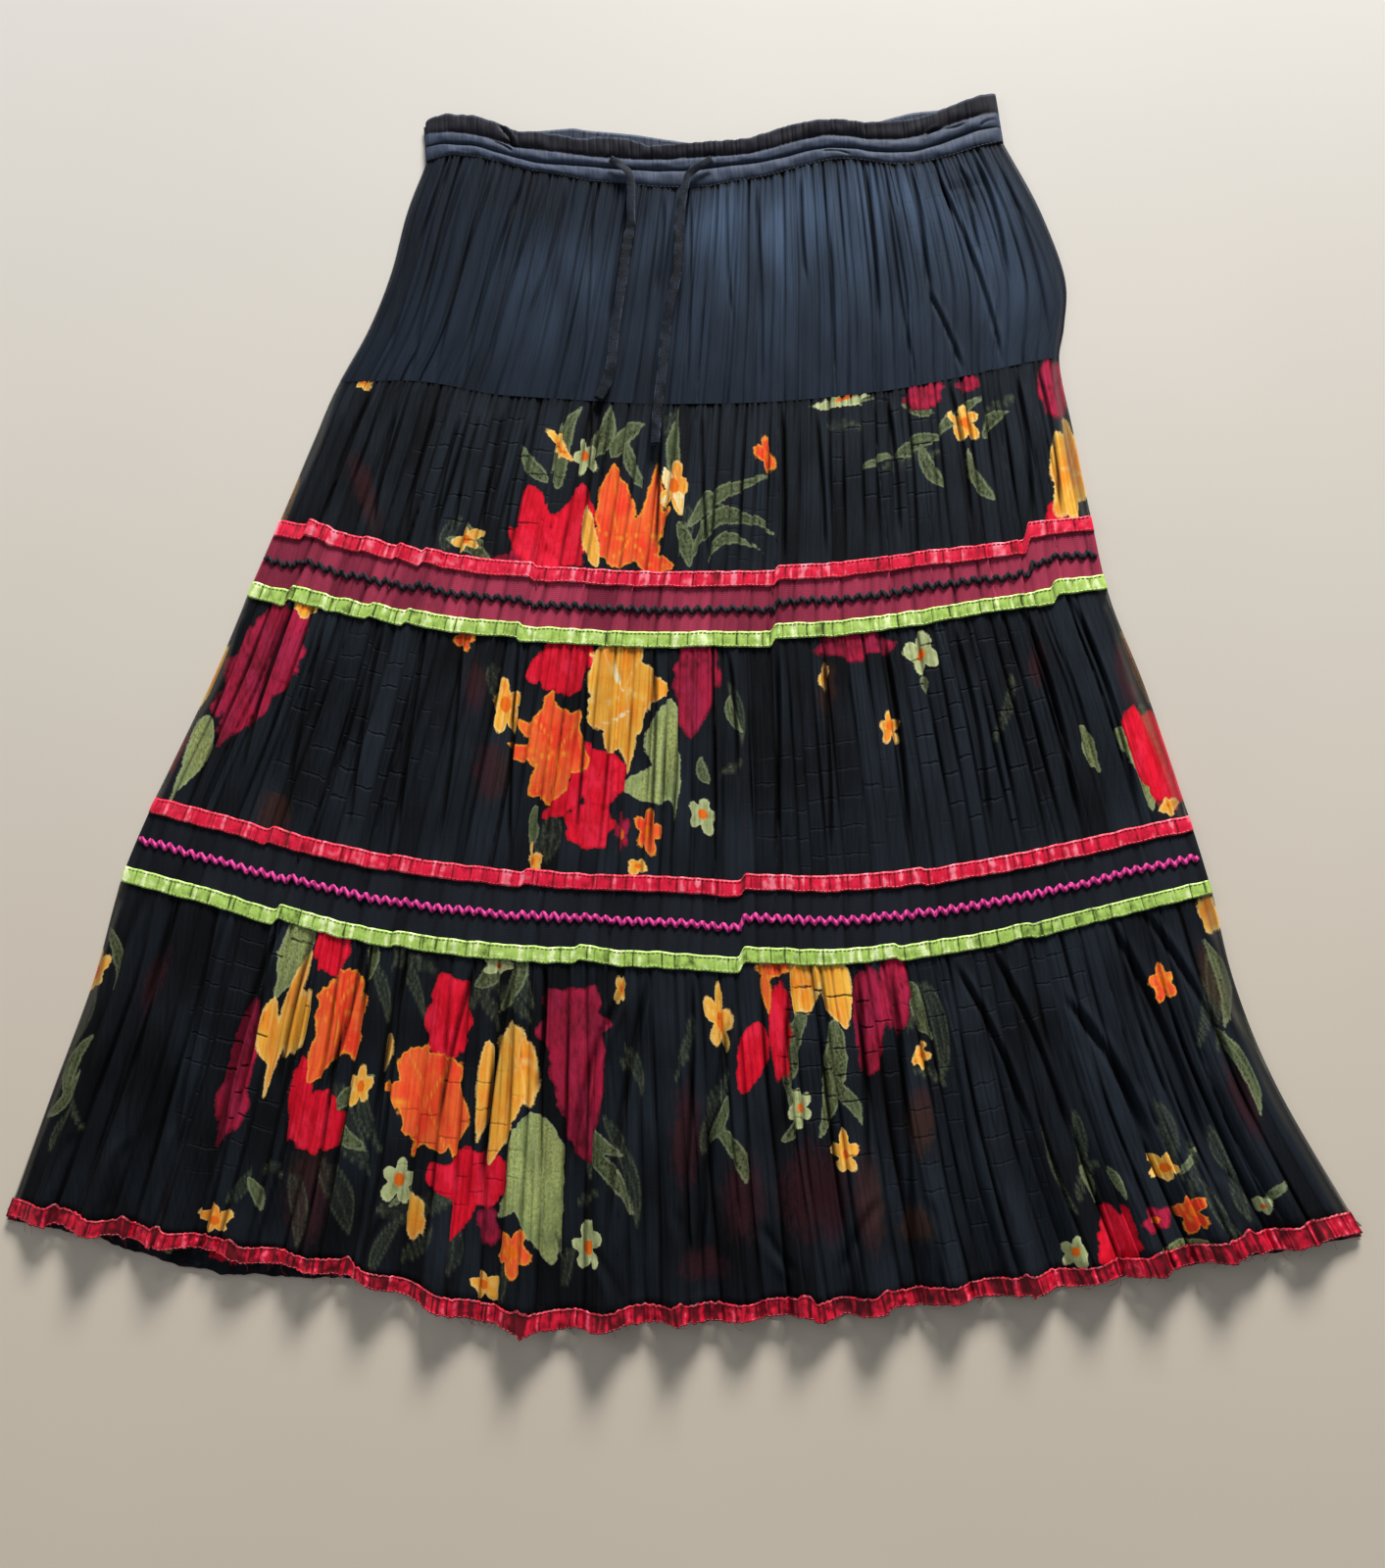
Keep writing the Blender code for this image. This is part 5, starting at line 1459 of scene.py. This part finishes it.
def thicken(obj, thickness):
    """Give an open strip a wall, so that its edges close."""
    solid = obj.modifiers.new("thickness", "SOLIDIFY")
    solid.thickness = thickness
    solid.offset = -1.0


RIBBON_GRID = (1000, 7)
BACK_RIBBON_GRID = (300, 4)
HEM_GRID = (1300, 9)


def ribbon(name, row, seed, material, slot):
    """A satin ribbon along a seam of the front, puckered where the cloth gathers."""
    place, t = (np.linspace(0.0, 1.0, count) for count in RIBBON_GRID)
    drop = drop_of(row) + RIBBON_WIDTH * (t - 0.5)
    s, t = place[None, :], t[:, None]
    cloth = front_surface(place, drop, BAND_SEED, BAND_PLEATS)
    x, y, z = cloth.x, cloth.y, cloth.z
    z = 0.5 * z + 0.5 * z.mean(axis=0, keepdims=True)
    length = x.max() - x.min()
    pucker, bright = pucker_lines(place, length, seed)
    crown = np.sin(math.pi * t) ** 0.5
    tiny = ripple(s * length / 0.0045, t * 2.0, seed + 7)
    z = z + 0.0012 + 0.0009 * pucker * (0.35 + 0.65 * crown) + 0.0003 * crown + 0.0003 * tiny
    y = y + 0.0007 * ripple(s * length / 0.010, t * 0.6, seed + 8)
    broken = 1.0 + 0.5 * ripple(s * length / 0.005, t * 2.4, seed + 9)
    # pucker: painted light and shade of the puckers, darker over the cloth's fold lines
    values = {"pucker": bright * broken * (1.0 - 0.25 * cloth.groove), "rim": np.abs(2.0 * t - 1.0)}
    obj = cloth_mesh(name + "_satin", x, y, z, place, drop, True, values)
    thicken(obj, SATIN_WALL)
    remember_stitches(name, slot, slot.replace("satin", "thread"), x, y, z)
    return finished(obj, material, name)


def back_ribbon(name, row, material, width, half_below=0.5):
    """The same ribbon on the back, pressed flat on the floor."""
    place, t = (np.linspace(0.0, 1.0, count) for count in BACK_RIBBON_GRID)
    drop = drop_of(row) + width * (t - 1.0 + half_below)
    x, y = plan(place, np.minimum(drop, drop_of("hem")), back=True)
    if row == "hem":
        y = y + (edge_fade(place) * ragged_hem(place))[None, :]
    pucker, bright = pucker_lines(place, x.max() - x.min(), 91)
    z = np.broadcast_to(0.00055 + 0.00012 * pucker, x.shape)
    # pucker: painted light and shade of the puckers
    values = {"pucker": bright, "rim": np.abs(2.0 * t - 1.0)[:, None]}
    obj = cloth_mesh(name + "_satin", x, y, z, place, drop, False, values)
    thicken(obj, SATIN_WALL)
    return finished(obj, material, name)


def frayed_threads(points, count, seed):
    """Loose thread ends below a hem: paths that start at some of its points."""
    paths = []
    pick = (chance(np.arange(count), 0, seed) * (len(points) - 1)).astype(int)
    for n in range(count):
        start = points[pick[n]]
        one, two, three = (float(chance(np.array(n), k, seed + 1)) for k in range(3))
        reach = 0.0015 + 0.0085 * one * one
        t = np.linspace(0.0, 1.0, 5)
        angle = -0.5 * math.pi + (two - 0.5) * 1.6 + 2.2 * (three - 0.5) * t
        paths.append(np.stack([start[0] + reach * t * np.cos(angle), start[1] + reach * t * np.sin(angle),
                               np.maximum(0.0006, start[2] * (1.0 - 0.8 * t))], axis=-1))
    return paths


def threads_mesh(name, paths, radius):
    """Three-sided closed threads along short paths, in one mesh."""
    profile = [(radius, 0.0), (-radius, 0.0), (0.0, 1.6 * radius)]
    points, faces = [], []
    for path in paths:
        more, sides = tube(path, profile, turned_sideways(path)[1], np.broadcast_to(UP, path.shape), 1.0)
        faces += [tuple(len(points) + k for k in side) for side in sides]
        points += more
    return linked(name, outward_mesh(name, points, faces))


STITCH_PITCH = 0.0031
STITCH_LENGTH = 0.0021
STITCH_WIDTH = 0.00042
STITCH_LINES = []


def remember_stitches(name, slot, thread, x, y, z):
    """Keep both edges of a ribbon as lines to sew along."""
    for edge, inner in ((0, 1), (-1, -2)):
        line = [0.45 * a[edge] + 0.55 * a[inner] for a in (x, y, z)]
        line[2] = np.maximum(z[edge], z[inner]) + 0.0002
        STITCH_LINES.append((name, slot, thread, np.stack(line, axis=-1)[6:-6]))


def stitch_tree():
    """Geometry nodes that lay small stitches end to end along a line."""
    tree = bpy.data.node_groups.new("sewn_line", "GeometryNodeTree")
    sockets = {}
    tree.interface.new_socket("Geometry", in_out="INPUT", socket_type="NodeSocketGeometry")
    for key in ("Pitch", "Length", "Width"):
        sockets[key] = tree.interface.new_socket(key, in_out="INPUT", socket_type="NodeSocketFloat")
    sockets["Thread"] = tree.interface.new_socket("Thread", in_out="INPUT",
                                                  socket_type="NodeSocketMaterial")
    tree.interface.new_socket("Geometry", in_out="OUTPUT", socket_type="NodeSocketGeometry")
    node = {key: tree.nodes.new(kind) for key, kind in (
        ("in", "NodeGroupInput"), ("curve", "GeometryNodeMeshToCurve"),
        ("points", "GeometryNodeCurveToPoints"), ("size", "ShaderNodeCombineXYZ"),
        ("stitch", "GeometryNodeMeshCube"), ("lay", "GeometryNodeInstanceOnPoints"),
        ("real", "GeometryNodeRealizeInstances"), ("finish", "GeometryNodeSetMaterial"),
        ("out", "NodeGroupOutput"))}
    node["points"].mode = "LENGTH"
    for source, output, target, entry in (
            ("in", "Geometry", "curve", "Mesh"), ("curve", "Curve", "points", "Curve"),
            ("in", "Pitch", "points", "Length"), ("in", "Width", "size", "X"),
            ("in", "Width", "size", "Y"), ("in", "Length", "size", "Z"),
            ("size", "Vector", "stitch", "Size"), ("points", "Points", "lay", "Points"),
            ("points", "Rotation", "lay", "Rotation"), ("stitch", "Mesh", "lay", "Instance"),
            ("lay", "Instances", "real", "Geometry"), ("real", "Geometry", "finish", "Geometry"),
            ("in", "Thread", "finish", "Material"), ("finish", "Geometry", "out", "Geometry")):
        tree.links.new(node[source].outputs[output], node[target].inputs[entry])
    return tree, {key: socket.identifier for key, socket in sockets.items()}


def sew(materials):
    """Sew every remembered line."""
    tree, keys = stitch_tree()
    sewn_on = {}
    for number, (name, slot, thread, points) in enumerate(STITCH_LINES):
        mesh = bpy.data.meshes.new("line")
        mesh.from_pydata(points.tolist(), [(k, k + 1) for k in range(len(points) - 1)], [])
        line = linked("line", mesh)
        modifier = line.modifiers.new("sewing", "NODES")
        modifier.node_group = tree
        modifier[keys["Pitch"]] = STITCH_PITCH
        modifier[keys["Length"]] = STITCH_LENGTH
        modifier[keys["Width"]] = STITCH_WIDTH
        modifier[keys["Thread"]] = materials[thread]
        graph = bpy.context.evaluated_depsgraph_get()
        sewn = bpy.data.meshes.new_from_object(line.evaluated_get(graph))
        bpy.data.objects.remove(line)
        obj = linked("stitches_%02d_%s" % (number, name), sewn)
        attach(obj, "root")
        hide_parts(name)
        sewn_on.setdefault(name, []).append(obj)
    return sewn_on


FRAY_COUNT = 240
FRAY_RADIUS = 0.00013

# Places along the hem where the ribbon is folded over and springs up.
KINKS = [0.035, 0.092, 0.118, 0.176, 0.262, 0.395, 0.512, 0.605, 0.662, 0.765, 0.858, 0.926, 0.968]


def hem_ribbon(materials):
    """The wavy hem ribbon that stands out along the front hem."""
    name = "hem_ribbon_front"
    place, t = (np.linspace(0.0, 1.0, count) for count in HEM_GRID)
    drop = drop_of("hem") - HEM_RIBBON_WIDTH * (1.0 - t)
    tier_four = PANELS[-1]
    cloth = front_surface(place, drop, tier_four.seed, tier_four.pleats)
    x, y, z = cloth.x, cloth.y, cloth.z
    z = 0.4 * z + 0.6 * z.mean(axis=0, keepdims=True)
    pucker, bright = pucker_lines(place, HEM_LENGTH, 77, HEM_PUCKER_PITCH)
    s, t = place[None, :], t[:, None]
    fade = edge_fade(s)
    lumps = ripple(s * 74.0, t * 0.8, 83) + 0.4 * ripple(s * 230.0, t * 2.2, 87)
    z = z + 0.0007 + fade * (0.0010 * pucker + 0.0014 * lumps)
    y = y + 0.0010 * ripple(s * 330.0, t, 88) * np.abs(2.0 * t - 1.0) ** 3
    y = y - fade * 0.0022 * (0.3 + 0.7 * t) * ripple(s * 52.0, t * 0.3, 84)
    x = x + 0.0024 * (t - 0.4) * ripple(s * 60.0, t, 85)
    # folded: painted shade where the ribbon folds over at each kink
    folded = 0.0
    for number, kink in enumerate(KINKS):
        away = (s - kink) / KINK_REACH
        spring = hump(away)
        lapped = np.tanh(4.0 * away) * np.exp(-np.abs(away) / 3.0) * (-1.0) ** number
        raised = 0.0032 * (1.0 - t) ** 2 - 0.0008 * t
        y = y + fade * (spring * raised + 0.0013 * lapped)
        z = z + spring * 0.0020 + 0.0006 * lapped
        x = x + 0.0026 * away * spring * (1.0 - t)
        folded = folded + 0.45 * hump((away - 0.5) / 0.4)
    z = np.maximum(z, FRONT_BASE + 0.0006)
    broken = 1.0 + 0.9 * ripple(s * 240.0, t * 3.6, 86)
    # pucker: painted light and shade of the puckers, lighter on the lumps and darker at the kinks
    values = {"pucker": (bright - 0.30) * broken + 0.25 * lumps - folded,
              "rim": np.abs(2.0 * t - 1.0)}
    obj = cloth_mesh(name + "_satin", x, y, z, place, drop, True, values)
    thicken(obj, SATIN_WALL)
    finished(obj, materials["hem_red"], name)
    remember_stitches(name, "red_satin", "hem_thread", x, y, z)
    edge = np.stack([x[-1], y[-1], z[-1]], axis=-1)
    fray = threads_mesh("hem_fray", frayed_threads(edge, FRAY_COUNT, 401), FRAY_RADIUS)
    return obj, [finished(fray, materials["hem_thread"], name)]


RICKRACK_SWING = 0.00220
POINTS_A_WAVE = 12
BRAID_HALF, BRAID_TALL = 0.00165, 0.00075


def rickrack(name, first, last, waves, material, seed, front=True):
    """A wavy braid along the middle of a band."""
    count = waves * POINTS_A_WAVE
    place = np.linspace(0.004, 0.996, count)
    middle = 0.5 * (drop_of(first) + drop_of(last))
    drop = np.array([middle - 0.001, middle, middle + 0.001])
    if front:
        cloth = front_surface(place, drop, BAND_SEED, BAND_PLEATS)
        x, y = cloth.x, cloth.y
        z = cloth.z.max(axis=0) + 0.0009
    else:
        x, y = plan(place, drop, back=True)
        z = np.full(count, 0.0007)
    phase = 2.0 * math.pi * np.arange(count) / POINTS_A_WAVE
    phase = phase + 0.8 * ripple(place * waves / 4.0, 0.5, seed)
    drift = 0.0011 * ripple(place * 22.0, 0.2, seed + 1)
    swing = RICKRACK_SWING * (1.0 + 0.25 * ripple(place * waves / 3.0, 0.7, seed + 2))
    wavy = y[1] + swing * np.sin(phase) + drift
    path = np.stack([x[1] + 0.0005 * np.sin(2.0 * phase), wavy, z], axis=-1)
    profile = [(BRAID_HALF * math.cos(a), BRAID_TALL * math.sin(a))
               for a in np.linspace(0, 2 * math.pi, 7)[:-1]]
    side = turned_sideways(path)[1]
    obj = swept_mesh(name + "_braid", path, profile, side, np.broadcast_to(UP, path.shape), 1.0)
    return finished(obj, material, name)


# ---- Waistband and drawstring ----

WAIST_GRID = (800, 50)
WAIST_BACK_GRID = (500, 22)
WAIST_BACK_DEPTH = 0.038
WAIST_BACK_WALL = 0.0006
FRILL_PLEATS, FRILL_PITCH = 110, 0.0039

# The drawstring's two buttonholes, in the picture's pixels.
SLITS = [(622, 159), (724, 157)]


def waist_plan(rows, knots, place, drop, folded=True):
    """x and y of the waistband, from its rows at their own drops."""
    points = [row_points(name, place, folded) for name in rows]
    return (down_curve(knots, [p[axis] for p in points], drop) for axis in (0, 1))


def frill_pleats(place, drop, seed):
    """The frill's close pleats and their height."""
    close = pleat_layer(place, drop * 0.4, FRILL_PLEATS, FRILL_PITCH, seed)
    return close, 0.5 * (chance(close.pleat, 0, seed + 2) - 0.5) - groove_of(close, FRILL_FOLD)


def waistband_front(material):
    """The waistband's front: a gathered frill edge over two corded channels."""
    knots = [ROWS["waist_top"].y_middle - ROWS[name].y_middle for name in WAIST_ROWS]
    place = np.linspace(0.0, 1.0, WAIST_GRID[0])
    drop = np.linspace(0.0, knots[-1], WAIST_GRID[1])
    x, y = waist_plan(WAIST_ROWS, knots, place, drop)
    s, d = place[None, :], drop[:, None]
    frill = smooth(knots[1] + 0.0006, knots[1] - 0.0006, d)
    close, pleat = frill_pleats(s, d, 5)
    gather = ripple(s * 170.0, d / 0.02, 15)
    puff = 0.0
    for top, bottom in ((knots[1], knots[2]), (knots[2], knots[3])):
        part = np.clip((d - top) / (bottom - top), 0.0, 1.0)
        puff = puff + np.sqrt(4.0 * part * (1.0 - part))
    frill_lift = 0.0030 * (1.0 - np.exp(-(knots[1] - np.minimum(d, knots[1])) / 0.003))
    slump = 0.0012 * ripple(s * 7.0, d / 0.05, 31)
    z = FRONT_BASE + 0.0016 + frill * (slump + frill_lift + 0.0009 * pleat)
    z = z + (1.0 - frill) * puff * (0.0026 + 0.00014 * gather)
    px, py = seen_at(x, y, WAIST_LINE_HEIGHT)
    creased, dark = hand_creases(px, py)
    z = z + creased + 0.0004 * ripple(s * 40.0, d / 0.006, 17)
    z = FRONT_BASE + 0.0012 + (z - FRONT_BASE - 0.0012) * (0.35 + 0.65 * edge_fade(s))
    roll = np.clip(np.minimum(s, 1.0 - s) * WAIST_WIDTH / SIDE_ROLL, 0, 1)
    z = BACK_LIFT + 0.001 + (z - BACK_LIFT - 0.001) * np.sqrt(1.0 - (1.0 - roll) ** 2)
    y = y + frill * 0.0007 * ripple(s * 60.0, d / 0.03, 19)
    # seam: darker along the seam lines, painted shade in the grooves between the channels and a darker
    # stitched line along the bottom
    seam = hump((d - knots[1]) / 0.0007) + hump((d - knots[2]) / 0.0007)
    seam = seam + 0.9 * hump((d - knots[3]) / 0.0009)
    # slits: the drawstring's buttonholes, painted as dark shade
    slits = sum(np.exp(-((px - slit_x) / 5.0) ** 4 - ((py - slit_y) / 2.6) ** 2)
                for slit_x, slit_y in SLITS)
    # groove: painted shade in the frill's folds, the crease troughs and the buttonholes
    groove = groove_of(close, 0.0008) * frill + dark + 1.3 * slits
    values = {"frill": frill, "seam": seam, "lip": smooth(0.0013, 0.0002, d),
              "groove": np.clip(groove, 0.0, 1.4), "gather": 0.5 + 0.5 * gather}
    obj = cloth_mesh("waistband_front_cloth", x, y, z, place, drop, True, values)
    for row in (-2, -1):
        line = np.stack([x[row], y[row], z[row] + 0.0003], axis=-1)
        STITCH_LINES.append(("waistband_front", "charcoal_cloth", "navy_thread", line[6:-6:2]))
    return finished(obj, material, "waistband_front")


def waistband_back(material):
    """The waistband's back: a lower frill edge over plain cloth."""
    place = np.linspace(0.0, 1.0, WAIST_BACK_GRID[0])
    drop = np.linspace(0.0, WAIST_BACK_DEPTH, WAIST_BACK_GRID[1])
    x, y = waist_plan(("waist_top_back", "waist_bottom"), (0.0, WAIST_BACK_DEPTH), place, drop, False)
    s, d = place[None, :], drop[:, None]
    close, pleat = frill_pleats(s, d, 6)
    frill = smooth(0.0125, 0.0115, d)
    z = BACK_LIFT + 0.0006 + frill * (0.0008 + 0.0006 * pleat)
    # groove: painted shade in the frill's folds
    values = {"frill": frill * 0.25, "seam": 0.0, "lip": smooth(0.0012, 0.0, d),
              "groove": groove_of(close, FRILL_FOLD) * frill, "gather": 0.5}
    obj = cloth_mesh("waistband_back_cloth", x, y, z, place, drop, False, values)
    thicken(obj, WAIST_BACK_WALL)
    return finished(obj, material, "waistband_back")


def tape_path(route, step=0.0025):
    """Points on a smooth curve through a tie's own points."""
    route = np.array(route)
    length = np.linalg.norm(np.diff(route, axis=0), axis=1).sum()
    place = np.linspace(0.0, 1.0, int(round(length / step)) + 1)
    return np.stack([across(route[:, k], place) for k in range(3)], axis=-1)


def tie(name, route, material, knot_at=None):
    """One free end of the drawstring: a narrow folded and topstitched tape."""
    path = tape_path(route)
    forward, flat = turned_sideways(path)
    walk = np.linspace(0.0, 1.0, len(path))
    tilt = 0.55 * np.sin(walk * 17.0 + len(name)) + 0.25 * np.sin(walk * 41.0)
    side = flat * np.cos(tilt * 0.5)[:, None] + UP * np.sin(tilt * 0.5)[:, None]
    above = np.cross(forward, side)
    half, thin = 0.5 * TAPE_WIDTH, 0.5 * TAPE_THICKNESS
    profile = []
    for corner, start in ((1, 0), (-1, 90), (-1, 180), (1, 270)):
        for turn in (0, 45, 90):
            a = math.radians(start + turn)
            profile.append(((half - thin) * corner + thin * math.cos(a), thin * math.sin(a)))
    girth = 0.84 + 0.22 * smooth(0.10, 0.45, walk) - 0.10 * hump((walk - 0.03) / 0.03)
    if knot_at is not None:
        girth = girth - 0.16 * hump((walk - knot_at - 0.035) / 0.015)
        girth = girth + 0.24 * hump((walk - knot_at) / 0.013)
    obj = swept_mesh(name + "_tape", path, profile, side, above, girth)
    obj = finished(obj, material, name)
    return obj


# ---- Stage ----


def stage():
    """A plain pale floor, soft light from beyond the waist and a soft sky."""
    bpy.ops.mesh.primitive_plane_add(size=6.0, location=(0.0, 0.0, 0.0))
    floor = bpy.context.object
    floor.name = "floor"
    floor.data.materials.append(floor_finish())

    def lamp(name, place, aim, size, power, colour):
        data = bpy.data.lights.new(name, "AREA")
        data.shape = "RECTANGLE"
        data.size, data.size_y = size
        data.energy = power
        data.color = colour
        light = linked(name, data)
        light.location = place
        light.rotation_euler = (Vector(aim) - Vector(place)).to_track_quat("-Z", "Y").to_euler()

    lamp("window", (0.75, 3.55, 1.32), (0.0, 0.0, 0.0), (1.3, 0.8), 300.0, (1.0, 0.985, 0.955))
    lamp("side", (-2.2, 0.9, 1.3), (0.0, 0.0, 0.0), (1.4, 1.0), 10.0, (0.96, 0.98, 1.0))
    world = bpy.data.worlds.new("soft_sky")
    world.use_nodes = True
    world.node_tree.nodes["Background"].inputs["Color"].default_value = (0.92, 0.96, 1.0, 1)
    world.node_tree.nodes["Background"].inputs["Strength"].default_value = 0.22
    bpy.context.scene.world = world
    bpy.context.scene.view_settings.view_transform = "Standard"


# ---- The skirt ----

materials = {
    "yoke": yoke_finish(),
    "chiffon": chiffon_finish(),
    "waistband": waistband_finish(),
    "tape": tape_finish(),
    "band_one": band_finish("burgundy_cloth", (0.150, 0.014, 0.034), (0.440, 0.046, 0.098)),
    "band_two": band_finish("black_cloth", (0.0034, 0.0044, 0.0066), (0.0140, 0.0170, 0.0245)),
    "red": satin_finish("red_satin", (0.200, 0.001, 0.008), (0.800, 0.009, 0.052),
                        (1.000, 0.240, 0.320), (0.880, 0.110, 0.150)),
    "hem_red": satin_finish("hem_satin", (0.120, 0.001, 0.007), (0.640, 0.006, 0.034),
                            (0.940, 0.110, 0.190), (0.500, 0.060, 0.080)),
    "green": satin_finish("green_satin", (0.050, 0.090, 0.010), (0.430, 0.640, 0.130),
                          (0.860, 0.990, 0.500), (0.680, 0.840, 0.360)),
    "black_braid": braid_finish("black_braid", (0.003, 0.003, 0.005), (0.026, 0.024, 0.034)),
    "magenta_braid": braid_finish("magenta_braid", (0.320, 0.008, 0.110), (0.840, 0.080, 0.370)),
    "red_thread": thread_finish("red_thread", (0.500, 0.036, 0.060)),
    "hem_thread": thread_finish("hem_thread", (0.300, 0.020, 0.034)),
    "green_thread": thread_finish("green_thread", (0.340, 0.480, 0.140)),
    "navy_thread": thread_finish("navy_thread", (0.004, 0.005, 0.008)),
}

set_camera()
stage()
pieces = {}
pieces.update(back_panels(materials))
pieces.update(bands(materials))
pieces.update(front_panels(materials))
pieces["waistband_front"] = waistband_front(materials["waistband"])
pieces["waistband_back"] = waistband_back(materials["waistband"])
for colour, number, row, seed in (
        ("red", "one", "band_one_top", 201), ("green", "one", "band_one_bottom", 211),
        ("red", "two", "band_two_top", 221), ("green", "two", "band_two_bottom", 231)):
    name = colour + "_ribbon_" + number
    slot = colour + "_satin"
    pieces[name + "_front"] = ribbon(name + "_front", row, seed, materials[colour], slot)
    pieces[name + "_back"] = back_ribbon(name + "_back", row, materials[colour], RIBBON_WIDTH)
pieces["hem_ribbon_front"], frays = hem_ribbon(materials)
pieces["hem_ribbon_back"] = back_ribbon("hem_ribbon_back", "hem", materials["hem_red"],
                                        HEM_RIBBON_WIDTH, 0.0)
for dye, number, waves, seed in (("black", "one", 74, 301), ("magenta", "two", 100, 311)):
    for side in ("front", "back"):
        name = dye + "_rickrack_" + side
        pieces[name] = rickrack(name, "band_" + number + "_top", "band_" + number + "_bottom",
                                waves, materials[dye + "_braid"], seed, side == "front")
tie("drawstring_left", LEFT_TIE, materials["tape"], 0.36)
tie("drawstring_right", RIGHT_TIE, materials["tape"])

# A record of the name, width and length of the cloth that a piece was cut from, and how it is held.
Cut = namedtuple("Cut", "name width length held")

sewn_on = sew(materials)
sewn_on["hem_ribbon_front"] += frays
